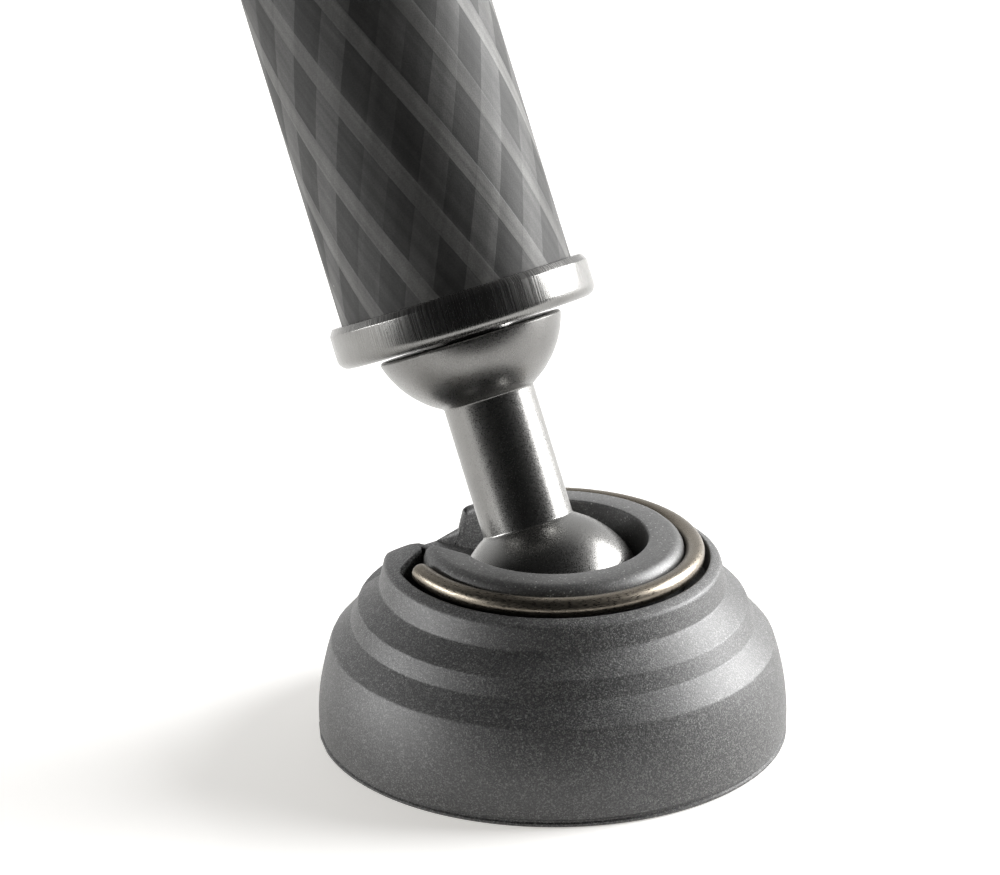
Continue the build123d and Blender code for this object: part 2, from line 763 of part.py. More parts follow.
def top_pad():
    """Rubber pad with rings of grooves, glued into the plate's recess."""
    low = plate_top() - PAD_SEAT_DEPTH + GLUE
    high = low + PAD_THICK
    pad = ring(PAD_R, PAD_INNER_R, low, high)
    first = PAD_INNER_R + PAD_RIB_PITCH
    for i in range(PAD_RIBS):
        inner = first + i * PAD_RIB_PITCH
        pad -= ring(inner + PAD_RIB_WIDTH, inner, high - PAD_RIB_DEPTH, high + OVERRUN)
    return pad


def camera_stud():
    """Double-ended stud: the large thread stands up, the small one is inside the head."""
    seat = plate_top() - PAD_SEAT_DEPTH
    foot = seat - STUD_FLANGE_THICK
    top = plate_top() + PAD_THICK - PAD_SEAT_DEPTH + STUD_LENGTH
    low = foot - STUD_SHORT_LENGTH
    return turned(
        [
            (0, low),
            (STUD_SHORT_R - STUD_CHAMFER, low),
            (STUD_SHORT_R, low + STUD_CHAMFER),
            (STUD_SHORT_R, foot + GLUE),
            (STUD_FLANGE_R, foot + GLUE),
            (STUD_FLANGE_R, seat),
            (STUD_R, seat),
            (STUD_R, top - STUD_CHAMFER),
            (STUD_R - STUD_CHAMFER, top),
            (0, top),
        ]
    )


def grip_top():
    return head_foot() - GRIP_GAP


def grip_sleeve():
    """Moulded hand grip: a lip at each end and ring grooves in the middle."""
    inner, high = tube_r(0) + GLUE, grip_top()
    low, outer = high - GRIP_LENGTH, inner + GRIP_WALL
    lip_r = outer + GRIP_LIP_RISE
    sleeve = turned(
        [
            (inner, low),
            (lip_r, low),
            (lip_r, low + GRIP_LIP_LENGTH / 2),
            (outer, low + GRIP_LIP_LENGTH),
            (outer, high - GRIP_LIP_LENGTH),
            (lip_r, high - GRIP_LIP_LENGTH / 2),
            (lip_r, high),
            (inner, high),
        ],
        (0, *[GRIP_LIP_ROUND] * 6, 0),
    )
    middle = (low + high) / 2
    for i in range(GRIP_GROOVES):
        centre = middle + (i - (GRIP_GROOVES - 1) / 2) * GRIP_GROOVE_PITCH
        sleeve -= turned(
            [
                (outer + OVERRUN, centre - GRIP_GROOVE_WIDTH / 2),
                (outer + OVERRUN, centre + GRIP_GROOVE_WIDTH / 2),
                (outer, centre + GRIP_GROOVE_WIDTH / 2),
                (outer - GRIP_GROOVE_DEPTH, centre + GRIP_GROOVE_FLOOR / 2),
                (outer - GRIP_GROOVE_DEPTH, centre - GRIP_GROOVE_FLOOR / 2),
                (outer, centre - GRIP_GROOVE_WIDTH / 2),
            ]
        )
    return sleeve


def grip_trim():
    """Metal ring that closes the grip's lower end."""
    inner, high = tube_r(0) + GLUE, grip_top() - GRIP_LENGTH - GLUE
    outer = inner + TRIM_WALL
    return turned(
        [(inner, high - TRIM_LENGTH), (outer, high - TRIM_LENGTH), (outer, high), (inner, high)],
        (0, TRIM_ROUND, TRIM_ROUND, 0),
    )


def standing_parts():
    """The pieces of the foot, which stands flat on the floor."""
    return {
        "rubber_foot": rubber_foot(),
        "socket_collar": socket_collar(),
        "wire_ring": wire_ring(),
        "ball_cup": ball_cup(),
    }


def leaning_parts():
    """Everything above the ball's centre, drawn upright and then leaned over."""
    parts = {
        "stem": stem(),
        "stem_washer": stem_washer(),
        "stem_nut": stem_nut(),
        "foot_collar": foot_collar(),
        "grip_sleeve": grip_sleeve(),
        "grip_trim": grip_trim(),
        "head_casting": head_casting(),
        "top_plate": top_plate(),
        "plate_screws": plate_screws(),
        "set_screws": set_screws(),
        "top_pad": top_pad(),
        "camera_stud": camera_stud(),
    }
    for section in range(SECTIONS):
        number = section + 1
        parts[f"tube_{number}"] = tube(section)
        if section > 0:
            parts[f"guide_bush_{number}"] = guide_bush(section)
            parts[f"end_cap_{number}"] = end_cap(section)
        if section < SECTIONS - 1:
            parts[f"lock_bush_{number}"] = lock_bush(section)
            parts[f"collet_{number}"] = collet(section)
            parts[f"lock_ring_{number}"] = lock_ring(section)
            parts[f"ring_seal_{number}"] = ring_seal(section)
            parts[f"ring_grip_{number}"] = ring_grip(section)
    place = leaning().location
    return {name: place * shape for name, shape in parts.items()}


def main():
    os.makedirs("parts", exist_ok=True)
    for name, shape in {**standing_parts(), **leaning_parts()}.items():
        export_step(shape, f"parts/{name}.step")


main()
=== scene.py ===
import json
from math import asin, atan2, cos, hypot, pi, radians, sin, sqrt, tan, tau

import bmesh
import bpy
from mathutils import Matrix, Vector


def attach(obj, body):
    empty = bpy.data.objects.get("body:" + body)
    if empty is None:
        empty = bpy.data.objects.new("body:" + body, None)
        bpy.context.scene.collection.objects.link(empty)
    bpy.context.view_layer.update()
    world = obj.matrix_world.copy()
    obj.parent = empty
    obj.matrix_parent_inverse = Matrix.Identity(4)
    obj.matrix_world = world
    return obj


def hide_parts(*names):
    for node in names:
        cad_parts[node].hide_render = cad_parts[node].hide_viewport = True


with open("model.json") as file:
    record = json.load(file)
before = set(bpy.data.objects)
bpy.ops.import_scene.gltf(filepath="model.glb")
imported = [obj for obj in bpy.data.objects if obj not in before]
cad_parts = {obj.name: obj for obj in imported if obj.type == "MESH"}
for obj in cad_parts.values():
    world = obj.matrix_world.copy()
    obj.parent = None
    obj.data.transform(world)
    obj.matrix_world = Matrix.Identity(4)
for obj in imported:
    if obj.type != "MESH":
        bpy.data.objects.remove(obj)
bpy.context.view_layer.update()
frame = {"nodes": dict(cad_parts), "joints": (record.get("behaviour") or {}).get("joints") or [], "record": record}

# Fine surfaces and materials for the monopod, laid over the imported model.
# Pieces are drawn in millimetres, with the part's named sizes, and placed in metres.
# Leaning pieces are drawn upright, with the ball's centre at zero.
# "Reach" is a distance along the tubes from the ball's centre.
MM = 0.001

stem_turn = next(joint for joint in frame["joints"] if joint["name"] == "stem_turn")
BALL_CENTRE = Vector(stem_turn["pos_m"])
UP = Vector(stem_turn["axis"]).normalized()
SIDE = Vector((0, 1, 0)).cross(UP).normalized()
STANDING = Matrix.Scale(MM, 4)
TURNED = Matrix((SIDE, UP.cross(SIDE), UP)).transposed().to_4x4()
LEANING = Matrix.Translation(BALL_CENTRE) @ TURNED @ Matrix.Scale(MM, 4)

node_slots = {row["node"]: row["material_slot"] for row in frame["record"]["subparts"]}
bodies = frame["record"]["behaviour"]["bodies"]
node_bodies = {node: body for body, nodes in bodies.items() for node in nodes}

# Clearances shared by all the pieces
RUNNING = 0.05
GLUE = 0.02
OVERRUN = 1.0

# Fineness of the meshes
FINE = 192
COARSE = 128
ARC_STEPS = 6
SAME_SPOT = 2e-4
SLIVER = 1e-4
SHARP = 35.0  # degrees over which an edge is sharp

# Rubber foot, from the floor up: main wall, two steps and the rim
BALL_HEIGHT = 14.0
SOLE_R = 25.0
SOLE_LIP = ((0.25, 0), (0, 0.2), (0, 0.42), (0.2, 0.55), (0.2, 0.75), (0.02, 0.95))  # inset, height
LIP_TOP = 1.2
WALL_MID_R = 24.72
WALL_MID_Z = 5.6
WALL_TOP_R = 23.55
WALL_TOP_Z = 10.3
WALL_STEPS = 8
LOW_STEP_FOOT_R = 21.5
LOW_STEP_FOOT_Z = 12.6
LOW_STEP_TOP_R = 20.65
LOW_STEP_TOP_Z = 14.5
HIGH_STEP_FOOT_R = 18.4
HIGH_STEP_FOOT_Z = 16.6
RIM_R = 17.8
RIM_SHOULDER_Z = 19.1
RIM_SLOPE_SPOT = (17.0, 19.6)
RIM_INNER_R = 16.57
RIM_TOP_Z = 19.85
STEP_ROUND = 0.55
WALL_ROUND = 0.9
RIM_ROUND = 0.8
RIM_INNER_ROUND = 0.18
GROOVE_FLOOR_Z = 16.6
GROOVE_ROUND = 0.4
TREAD_DEPTH = 0.8
TREAD_WIDTH = 1.4
TREAD_RADIUS = 20.0
TREAD_PITCH = 5.2
TREAD_RINGS = 3
TREAD_BARS = 12
TREAD_BAR_HALF = 0.62

# Socket collar round the ball
COLLAR_R = 13.9
COLLAR_TOP_Z = 21.9
COLLAR_FOOT_Z = 10.05
COLLAR_OPENING_R = 10.1
COLLAR_NARROW_Z = 17.2
COLLAR_SLOT_WIDTH = 16.9
COLLAR_LIP_ROUND = 0.25
COLLAR_END_ROUND = 0.4
COLLAR_EDGE = ((1.2, 0), (0.8, 0.16), (0.35, 0.55), (0.08, 1.05), (0, 1.6))  # inset, drop
SEAT = 0.1
SEAT_FOOT_R = 9.4
SEAT_TOP_R = 9.683
SEAT_STEPS = 10
COLLAR_STEPS = 96
COLLAR_ARC_STEPS = 5
BORE_R = COLLAR_R + RUNNING

# Radii inside the collar's end, and how far it stands back from the slot's side there
NOSE_SPOTS = (
    (0, 2.1), (0.3, 1.6), (0.6, 1.35), (1.0, 1.2), (1.5, 1.15), (3.15, 1.15), (3.8, 1.45), (4.4, 1.9),
)
COLLAR_END = tuple((COLLAR_R - inset, back) for inset, back in NOSE_SPOTS)

# Slot, and the blocks beside it that close the wire's groove
SLOT_AZIMUTH = radians(148.0)
SLOT_HALF = 7.3
SLOT_FLOOR_Z = 14.5
SLOT_REACH_R = 12.0  # inside this radius the slot's angles stay the same
SLOT_STEPS = 4
OPEN_STEPS = 64
BLOCK_TOP_Z = 21.2
STOP_INNER_R = 12.1
BLOCK_TOP = (
    (RIM_R, RIM_SHOULDER_Z), (RIM_INNER_R, RIM_TOP_Z), (15.8, 20.35), (15.1, 20.75), (14.4, 21.05),
    (BORE_R, 21.15), (STOP_INNER_R, BLOCK_TOP_Z),
)
BLOCK_END = ((16.6, radians(48.5)), (COLLAR_R, radians(40.5)))
GROOVE_ROWS = (15.6, 15.1, 14.6, 14.2, BORE_R)
STOP_ROWS = (BORE_R, 13.5, 13.0, 12.5, STOP_INNER_R)
STOP_HALF = COLLAR_SLOT_WIDTH / 2 - RUNNING
STOP_OPENING = 0.01  # radians
NEAR_ROUND = (1.1, 0.3)  # of the slot's outer and top edges, on its near side
FAR_ROUND = (0.6, 1.4)
STOP_ROUND = 0.4
STOP_END_ROUND = 0.25
BLOCK_END_ROUND = 0.35
BLOCK_END_GROWTH = 0.45
BLOCK_END_FROM = 14.3
BLOCK_END_OVER = 2.0

# Wire ring that squeezes the collar
WIRE_R = 1.05
WIRE_HEIGHT = 20.2
WIRE_END_ANGLE = radians(56.0)  # either side of the slot's middle
WIRE_AROUND = 28
WIRE_STEPS = 110
WIRE_CAP_STEPS = 7

# Ball, neck, dome and hub, turned in one piece
BALL_R = 10.1
NECK_R = 4.93
NECK_ROUND = 0.35
DOME_R = 10.35
DOME_TOP_REACH = 29.8
DOME_CENTRE_ABOVE_TOP = 2.4
DOME_EDGE_ROUND = 0.4
BALL_STEPS = 40
DOME_STEPS = 24
HUB_R = 5.35
HUB_GAP = 0.4
HUB_LENGTH = 14.0
SHANK_R = 4.0
SHANK_LENGTH = 7.2
SHANK_CHAMFER = 0.5

# Seat cup under the ball, and the room for the washer and nut
CUP_R = 11.3
CUP_BASE_R = 8.0
CUP_BASE_THICK = 1.25
CUP_SIDE_Z = 6.2
CUP_TOP_Z = 10.0
CUP_BASE_Z = BALL_HEIGHT - BALL_R - RUNNING - CUP_BASE_THICK
NUT_ROOM_R = 8.5

# Foot collar, on the end of the lowest tube
FOOT_COLLAR_R = 14.2
FOOT_COLLAR_HEIGHT = 4.5
FOOT_COLLAR_ROUND = 1.2
FOOT_COLLAR_CHAMFER_UP = 0.7
FOOT_COLLAR_CHAMFER_IN = 0.45
FOOT_COLLAR_EDGE = 0.15
SPIGOT_LENGTH = 18.0
SPIGOT_CHAMFER = 0.6

# Tubes, numbered from the top. The lowest one is drawn out, the others are closed
LOWEST_TUBE_R = 12.65
SLIDE_GAP = 0.55
TUBE_WALLS = (1.5, 1.4, 1.3, 1.2)
UPPER_TUBE_LENGTH = 372.0
DRAWN_OUT = 60.0
END_ROOM = 10.0
TUBE_STEPS = 40
TUBE_END_MAP = 2.0  # what each row round a tube's end takes on the UV map

# Twist locks
BUSH_WALL = 1.75
BUSH_GRIP = 18.0
BUSH_NOSE = 2.0
BUSH_NOSE_GAP = 0.25
BUSH_RIM = 1.6
BUSH_RIM_ROUND = 0.3
BUSH_CHAMFER = 0.5
BUSH_TOP_ROUND = 0.2
COLLET_LENGTH = 8.4
COLLET_THICK = 1.9
COLLET_THIN = 1.1
COLLET_PLAY = 0.1
RING_WALL = 1.9
RING_UP = 14.0
RING_DOWN = 14.0
RING_FLANGE = 3.0
RING_FLANGE_RISE = 1.3
RING_CHAMFER = 0.9
RING_CHAMFER_LENGTH = 1.8
RING_TOP_ROOM = 0.3
RING_MOUTH = 0.3
RING_LIP_GAP = 0.5
RING_EDGE = 0.25
RING_SHOULDER = 0.4
RING_FLANGE_EDGE = 0.2
SEAL_WIDTH = 1.8
SEAL_DEPTH = 1.2
SEAL_INSET = 0.9
SEAL_LIP = 0.3
SEAL_LIP_RISE = 0.2
GRIP_RISE = 1.75
GRIP_ROUND = 0.5
FLUTES = 24
FLUTE_R = 1.15
FLUTE_DEPTH = 0.75
FLUTE_END = 2.2
FLUTE_END_ROUND = 1.1
FLUTE_SHARES = (-1, -0.97, -0.9, -0.7, -0.45, -0.2, 0, 0.2, 0.45, 0.7, 0.9, 0.97, 1)
LOCK_SPACING = 1.5

# Hand grip round the upper tube
GRIP_LENGTH = 150.0
GRIP_WALL = 3.2
GRIP_LIP_RISE = 1.4
GRIP_LIP_LENGTH = 9.0
GRIP_LIP_ROUND = 1.6
GRIP_GROOVES = 9
GRIP_GROOVE_PITCH = 11.0
GRIP_GROOVE_WIDTH = 2.4
GRIP_GROOVE_FLOOR = 1.2
GRIP_GROOVE_DEPTH = 0.9
GRIP_GROOVE_ROUND = 0.3
GRIP_GAP = 1.5
TRIM_LENGTH = 5.0
TRIM_WALL = 2.2
TRIM_ROUND = 0.6

# Head
HEAD_SKIRT_LENGTH = 22.0
HEAD_SKIRT_WALL = 2.1
HEAD_SKIRT_ROUND = 0.4
HEAD_WAIST_LENGTH = 12.0
HEAD_TOP_R = 23.5
HEAD_TOP_ROUND = 0.8
HEAD_ABOVE_TUBE = 9.0
HEAD_TOP_LAND = 3.0
HEAD_ROUND = 1.5
PLATE_OVERHANG = 4.5
PLATE_R = HEAD_TOP_R + PLATE_OVERHANG
PLATE_THICK = 4.5
PLATE_ROUND = 0.8
PAD_MARGIN = 1.4
PAD_R = PLATE_R - PAD_MARGIN
PAD_RIM = 0.25
PAD_INNER_R = 9.5
PAD_THICK = 1.4
PAD_SEAT_DEPTH = 0.6
PAD_ROUND = 0.2
PAD_RIB_PITCH = 2.6
PAD_RIB_WIDTH = 1.2
PAD_RIB_DEPTH = 0.4
PAD_RIB_ROUND = 0.12
PAD_RIBS = 6
SET_SCREWS = 3
SET_SCREW_FIRST = 60.0  # degrees
SET_SCREW_OFFSET = 2.1
SET_SCREW_CIRCLE_R = HEAD_TOP_R + SET_SCREW_OFFSET
SET_SCREW_R = 1.5
SET_SCREW_LENGTH = 3.6

# Camera stud and its thread
STUD_R = 4.7625
STUD_LENGTH = 11.0
STUD_SHORT_R = 3.175
STUD_SHORT_LENGTH = 9.0
STUD_CHAMFER = 0.7
STUD_FLANGE_R = 8.0
STUD_FLANGE_THICK = 2.0
STUD_SEGMENTS = 96
STUD_BORE_R = STUD_SHORT_R + RUNNING
THREAD_PITCH = 1.5875
THREAD_DEPTH = 0.86
THREAD_STEPS = 14
THREAD_VALLEY = 0.12
THREAD_CREST = 0.86
THREAD_FOOT = 0.3
THREAD_START = 1.0
THREAD_FADE_FROM = 0.9
THREAD_FADE_OVER = 0.8
THREAD_LAST_GAP = 0.02

# Places along the tubes, as reach from the ball's centre
COLLAR_REACH = DOME_TOP_REACH + HUB_GAP
TUBE_FOOT_REACH = COLLAR_REACH + FOOT_COLLAR_HEIGHT
NUT_SEAT_REACH = COLLAR_REACH + HUB_LENGTH
SECTIONS = len(TUBE_WALLS)


def tube_r(section):
    """Outer radius of a tube, built out from the lowest one."""
    return LOWEST_TUBE_R + sum(SLIDE_GAP + wall for wall in TUBE_WALLS[section:SECTIONS - 1])


def tube_end(section):
    """Reach of a tube's lower end, with its lock below the one above."""
    if section == SECTIONS - 1:
        return TUBE_FOOT_REACH
    locks_between = SECTIONS - 2 - section
    spacing = BUSH_GRIP + LOCK_SPACING + RING_DOWN
    return TUBE_FOOT_REACH + DRAWN_OUT + RING_DOWN + locks_between * spacing


def tube_top(section):
    """Reach of a tube's upper end: each is a little below the one outside it."""
    top = tube_end(0) + UPPER_TUBE_LENGTH - section * END_ROOM
    return top - (DRAWN_OUT - LOCK_SPACING) if section == SECTIONS - 1 else top


TOP = tube_top(0)
SLEEVE_R = tube_r(0) + GLUE
GRIP_TOP = TOP - HEAD_SKIRT_LENGTH - GRIP_GAP
GRIP_LOW = GRIP_TOP - GRIP_LENGTH
HEAD_HIGH = TOP + HEAD_ABOVE_TUBE
PLATE_LOW = HEAD_HIGH + GLUE
PLATE_HIGH = PLATE_LOW + PLATE_THICK
PAD_SEAT = PLATE_HIGH - PAD_SEAT_DEPTH


# Paths and meshes
def polar(angle, r, z):
    return (r * cos(angle), r * sin(angle), z)


def quarter(steps=ARC_STEPS):
    """Angles over a quarter of a turn."""
    return [k * pi / 2 / steps for k in range(steps + 1)]


def rounded(points, closed=False, steps=ARC_STEPS):
    """A path through (a, b) or (a, b, radius) corners, with arcs at those that have a radius."""
    path, count = [], len(points)
    for i, point in enumerate(points):
        here = Vector(point[:2])
        radius = point[2] if len(point) > 2 else 0
        if not radius or (not closed and i in (0, count - 1)):
            path.append((here.x, here.y))
            continue
        back = (Vector(points[i - 1][:2]) - here).normalized()
        ahead = (Vector(points[(i + 1) % count][:2]) - here).normalized()
        half = back.angle(ahead) / 2
        centre = here + (back + ahead).normalized() * radius / sin(half)
        first = here + back * radius / tan(half) - centre
        last = here + ahead * radius / tan(half) - centre
        start = atan2(first.y, first.x)
        sweep = (atan2(last.y, last.x) - start + pi) % tau - pi
        for k in range(steps + 1):
            angle = start + sweep * k / steps
            path.append((centre.x + radius * cos(angle), centre.y + radius * sin(angle)))
    return path


def arc_through(a, b, c, steps):
    """Points on the circle through three points, from the first to the last."""
    (ax, ay), (bx, by), (cx, cy) = a, b, c
    d = 2 * (ax * (by - cy) + bx * (cy - ay) + cx * (ay - by))
    sa, sb, sc = ax * ax + ay * ay, bx * bx + by * by, cx * cx + cy * cy
    ux = (sa * (by - cy) + sb * (cy - ay) + sc * (ay - by)) / d
    uy = (sa * (cx - bx) + sb * (ax - cx) + sc * (bx - ax)) / d
    radius = hypot(ax - ux, ay - uy)
    start = atan2(ay - uy, ax - ux)
    turn = 1 if (bx - ax) * (cy - ay) - (by - ay) * (cx - ax) > 0 else -1
    sweep = (atan2(cy - uy, cx - ux) - start) * turn % tau * turn
    angles = [start + sweep * k / steps for k in range(steps + 1)]
    return [(ux + radius * cos(t), uy + radius * sin(t)) for t in angles]


def running_length(path):
    lengths = [0.0]
    for a, b in zip(path, path[1:]):
        lengths.append(lengths[-1] + hypot(b[0] - a[0], b[1] - a[1]))
    return lengths


def sideways(path, closed=False):
    """Unit vectors across a path, to the right of its way, one for each point."""
    last = len(path) - 1
    found = []
    for i in range(len(path)):
        before = path[i - 1] if i > 0 or closed else path[0]
        after = path[(i + 1) % len(path)] if i < last or closed else path[last]
        along = Vector((after[0] - before[0], after[1] - before[1])).normalized()
        found.append(Vector((along.y, -along.x)))
    return found


def skin(name, rows, us, vs, place, loop=True, closed=False, sharp=SHARP, caps=()):
    """A mesh from rows of points. us and vs are the UV map's values, in millimetres."""
    mesh = bmesh.new()
    layer = mesh.loops.layers.uv.new("mm")
    grid = [[mesh.verts.new(place @ Vector(point)) for point in row] for row in rows]
    height, width = len(rows), len(rows[0])
    for i in range(height if closed else height - 1):
        below, above = grid[i], grid[(i + 1) % height]
        for j in range(width if loop else width - 1):
            k = (j + 1) % width
            face = mesh.faces.new((below[j], below[k], above[k], above[j]))
            spots = ((j, i), (j + 1, i), (j + 1, i + 1), (j, i + 1))
            for corner, (u, v) in zip(face.loops, spots):
                corner[layer].uv = (us[u], vs[v])
    for ring in caps:
        face = mesh.faces.new([grid[i][j] for i, j in ring])
        for corner, (i, j) in zip(face.loops, ring):
            corner[layer].uv = (rows[i][j][0], rows[i][j][2])
    bmesh.ops.remove_doubles(mesh, verts=mesh.verts, dist=SAME_SPOT * MM)
    bmesh.ops.dissolve_degenerate(mesh, edges=mesh.edges, dist=SLIVER * MM)
    bmesh.ops.recalc_face_normals(mesh, faces=mesh.faces)
    if mesh.calc_volume(signed=True) < 0:
        bmesh.ops.reverse_faces(mesh, faces=mesh.faces)
    return finished(name, mesh, sharp)


def placed(name, data):
    """A new object in the scene."""
    piece = bpy.data.objects.new(name, data)
    bpy.context.scene.collection.objects.link(piece)
    return piece


def finished(name, mesh, sharp=SHARP):
    """An object in the scene from a mesh in the making."""
    data = bpy.data.meshes.new(name)
    mesh.to_mesh(data)
    mesh.free()
    data.shade_smooth()
    data.set_sharp_from_angle(angle=radians(sharp))
    return placed(name, data)


def turned_rows(path, segments):
    """Rows of points round Z, one for each (radius, height) of a path."""
    angles = [tau * j / segments for j in range(segments)]
    return [[polar(t, r, z) for t in angles] for r, z in path]


def turned(name, path, place=LEANING, closed=False, segments=FINE):
    """A piece turned about Z from a path of (radius, height) points."""
    outer = max(r for r, z in path)
    us = [outer * tau * j / segments for j in range(segments + 1)]
    vs = running_length(list(path) + [path[0]])
    return skin(name, turned_rows(path, segments), us, vs, place, closed=closed)


def hollow(name, corners, steps=ARC_STEPS, segments=FINE):
    """A hollow piece turned about Z from the corners of its section."""
    return turned(name, rounded(corners, closed=True, steps=steps), closed=True, segments=segments)


# Materials
NOISE_REACH = 0.2  # most of a noise lies within this of a half


def feed(tree, socket, value):
    """Give a socket a link from another one, or a plain value."""
    if isinstance(value, bpy.types.NodeSocket):
        tree.links.new(value, socket)
    else:
        socket.default_value = value


def add_node(tree, kind, inputs=(), **props):
    """A shader node, with its properties and what feeds its inputs."""
    node = tree.nodes.new("ShaderNode" + kind)
    for prop, value in props.items():
        setattr(node, prop, value)
    for socket, value in dict(inputs).items():
        feed(tree, node.inputs[socket], value)
    return node


def tinted(colour, share=1):
    """A share of a colour, opaque."""
    return (*[channel * share for channel in colour], 1)


class Finish:
    """A node material with one shader and short calls for its nodes."""

    def __init__(self, name, colour, roughness, metallic=0.0, specular=0.5):
        self.material = bpy.data.materials.new(name)
        self.material.use_nodes = True
        self.tree = self.material.node_tree
        self.shader = self.tree.nodes["Principled BSDF"]
        self.colour, self.roughness = colour, roughness
        self.set("Base Color", tinted(colour))
        self.set("Roughness", roughness)
        self.set("Metallic", metallic)
        self.set("Specular IOR Level", specular)

    def set(self, socket, value):
        feed(self.tree, self.shader.inputs[socket], value)

    def node(self, kind, inputs=(), **props):
        return add_node(self.tree, kind, inputs, **props)

    def math(self, operation, *values):
        return self.node("Math", enumerate(values), operation=operation).outputs[0]

    def product(self, value, *others):
        for other in others:
            value = self.math("MULTIPLY", value, other)
        return value

    def scaled(self, colour, factor):
        """A colour, plain or from a socket, times a socket's value."""
        return self.node("VectorMath", {0: colour, 1: factor}, operation="MULTIPLY").outputs[0]

    def spread(self, value, low, high, to_low, to_high):
        inputs = {"Value": value, "From Min": low, "From Max": high, "To Min": to_low, "To Max": to_high}
        return self.node("MapRange", inputs, clamp=True).outputs["Result"]

    def tone(self, noise, swing, reach=NOISE_REACH):
        """A factor that swings about 1 with a noise."""
        return self.spread(noise, 0.5 - reach, 0.5 + reach, 1 - swing, 1 + swing)

    def mix(self, factor, a, b):
        return self.node("Mix", {0: factor, 6: a, 7: b}, data_type="RGBA").outputs[2]

    def object_noise(self, size, detail=2.0, rough=0.5):
        """Noise with features of a size in millimetres."""
        place = self.node("TexCoord").outputs["Object"]
        inputs = {"Vector": place, "Scale": 1 / (size * MM), "Detail": detail, "Roughness": rough}
        return self.node("TexNoise", inputs).outputs["Fac"]

    def scatter(self, size):
        """Scattered cells about a size in millimetres across."""
        place = self.node("TexCoord").outputs["Object"]
        return self.node("TexVoronoi", {"Vector": place, "Scale": 1 / (size * MM)})

    def flecks(self, size):
        """A random value from 0 to 1 for each cell of about a size in millimetres."""
        return self.node("SeparateXYZ", {"Vector": self.scatter(size).outputs["Color"]}).outputs[0]

    def map_noise(self, across, along, detail=2.0):
        """Noise stretched over the UV map: sizes in millimetres round and along."""
        place = self.node("UVMap", uv_map="mm").outputs["UV"]
        scale = self.node("Mapping", {"Vector": place, "Scale": (1 / across, 1 / along, 1)})
        inputs = {"Vector": scale.outputs["Vector"], "Scale": 1.0, "Detail": detail}
        return self.node("TexNoise", inputs).outputs["Fac"]

    def shades(self, noise, swing):
        """Base colour that swings about the plain colour with a noise."""
        share = self.spread(noise, 0.5 - NOISE_REACH, 0.5 + NOISE_REACH, 0, 1)
        dark, light = tinted(self.colour, 1 - swing), tinted(self.colour, 1 + swing)
        self.set("Base Color", self.mix(share, dark, light))

    def gloss(self, noise, smoother, rougher):
        """Roughness about the plain one, from so much smoother to so much rougher."""
        low, high = self.roughness - smoother, self.roughness + rougher
        self.set("Roughness", self.spread(noise, 0.5 - NOISE_REACH, 0.5 + NOISE_REACH, low, high))

    def bump(self, *layers):
        """Bump from (height value, depth in millimetres) layers."""
        normal = None
        for value, depth in layers:
            inputs = {"Height": value, "Distance": depth * MM, "Strength": 1.0}
            if normal:
                inputs["Normal"] = normal
            normal = self.node("Bump", inputs).outputs["Normal"]
        self.set("Normal", normal)


SAND_SWING = 0.9
SAND_POWER = 3
SAND_MEAN = 1 / (SAND_POWER + 1)  # of that power of a value from 0 to 1
CLOUD_GRAINS = 60
CLOUD_SWING = 0.15
LUMP_GRAINS = 3
LUMP_DEPTH_SHARE = 0.6
GLINT_GRAINS = (0.985, 0.995)
GLINT_TIMES = 5


def moulded_rubber(name, colour, roughness, grain, depth, specular=0.5, sheen=0.0, sand=0.35):
    """Dark rubber with a sandy grain: each grain has its own height and tone, and a few carry a painted glint, a
    pale colour.
    """
    look = Finish(name, colour, roughness, specular=specular)
    look.set("Sheen Weight", sheen)
    look.set("Sheen Roughness", 0.5)
    grains = look.flecks(grain)
    cloud = look.object_noise(grain * CLOUD_GRAINS, 3.0)
    swing = SAND_SWING * sand
    peaks = look.product(look.math("POWER", grains, SAND_POWER), swing / SAND_MEAN)
    salt = look.math("ADD", peaks, 1 - swing)
    dark = look.scaled(colour, look.product(salt, look.tone(cloud, CLOUD_SWING)))
    # Painted glints: a few grains get a pale colour that stands for light catching them
    pale = look.spread(grains, *GLINT_GRAINS, 0, 1)
    look.set("Base Color", look.mix(pale, dark, tinted(colour, GLINT_TIMES)))
    lumps = look.object_noise(grain * LUMP_GRAINS, 2.0, 0.6)
    look.bump((grains, depth), (lumps, depth * LUMP_DEPTH_SHARE))
    return look.material


def turned_metal(name, colour, roughness, across, along, depth, swing=0.08):
    """Metal with fine marks: their sizes are in millimetres round and along the piece."""
    look = Finish(name, colour, roughness, metallic=1.0)
    marks = look.map_noise(across, along, 3.0)
    look.shades(look.object_noise(6.0, 3.0), 0.12)
    look.gloss(marks, swing, swing)
    look.bump((marks, depth), (look.object_noise(0.12), depth / 2))
    return look.material


def blasted_metal(name, colour, roughness, grain, depth):
    """Metal with the fine even grain that bead blasting leaves."""
    look = Finish(name, colour, roughness, metallic=1.0)
    beads = look.object_noise(grain, 2.0, 0.6)
    look.shades(look.object_noise(5.0, 3.0), 0.1)
    look.gloss(beads, 0.08, 0.1)
    look.bump((beads, depth))
    return look.material


def plain_plastic(name, colour, roughness):
    look = Finish(name, colour, roughness)
    cloud = look.object_noise(2.0, 3.0)
    look.shades(cloud, 0.06)
    look.gloss(cloud, 0.05, 0.05)
    look.bump((look.object_noise(0.25), 0.006))
    return look.material


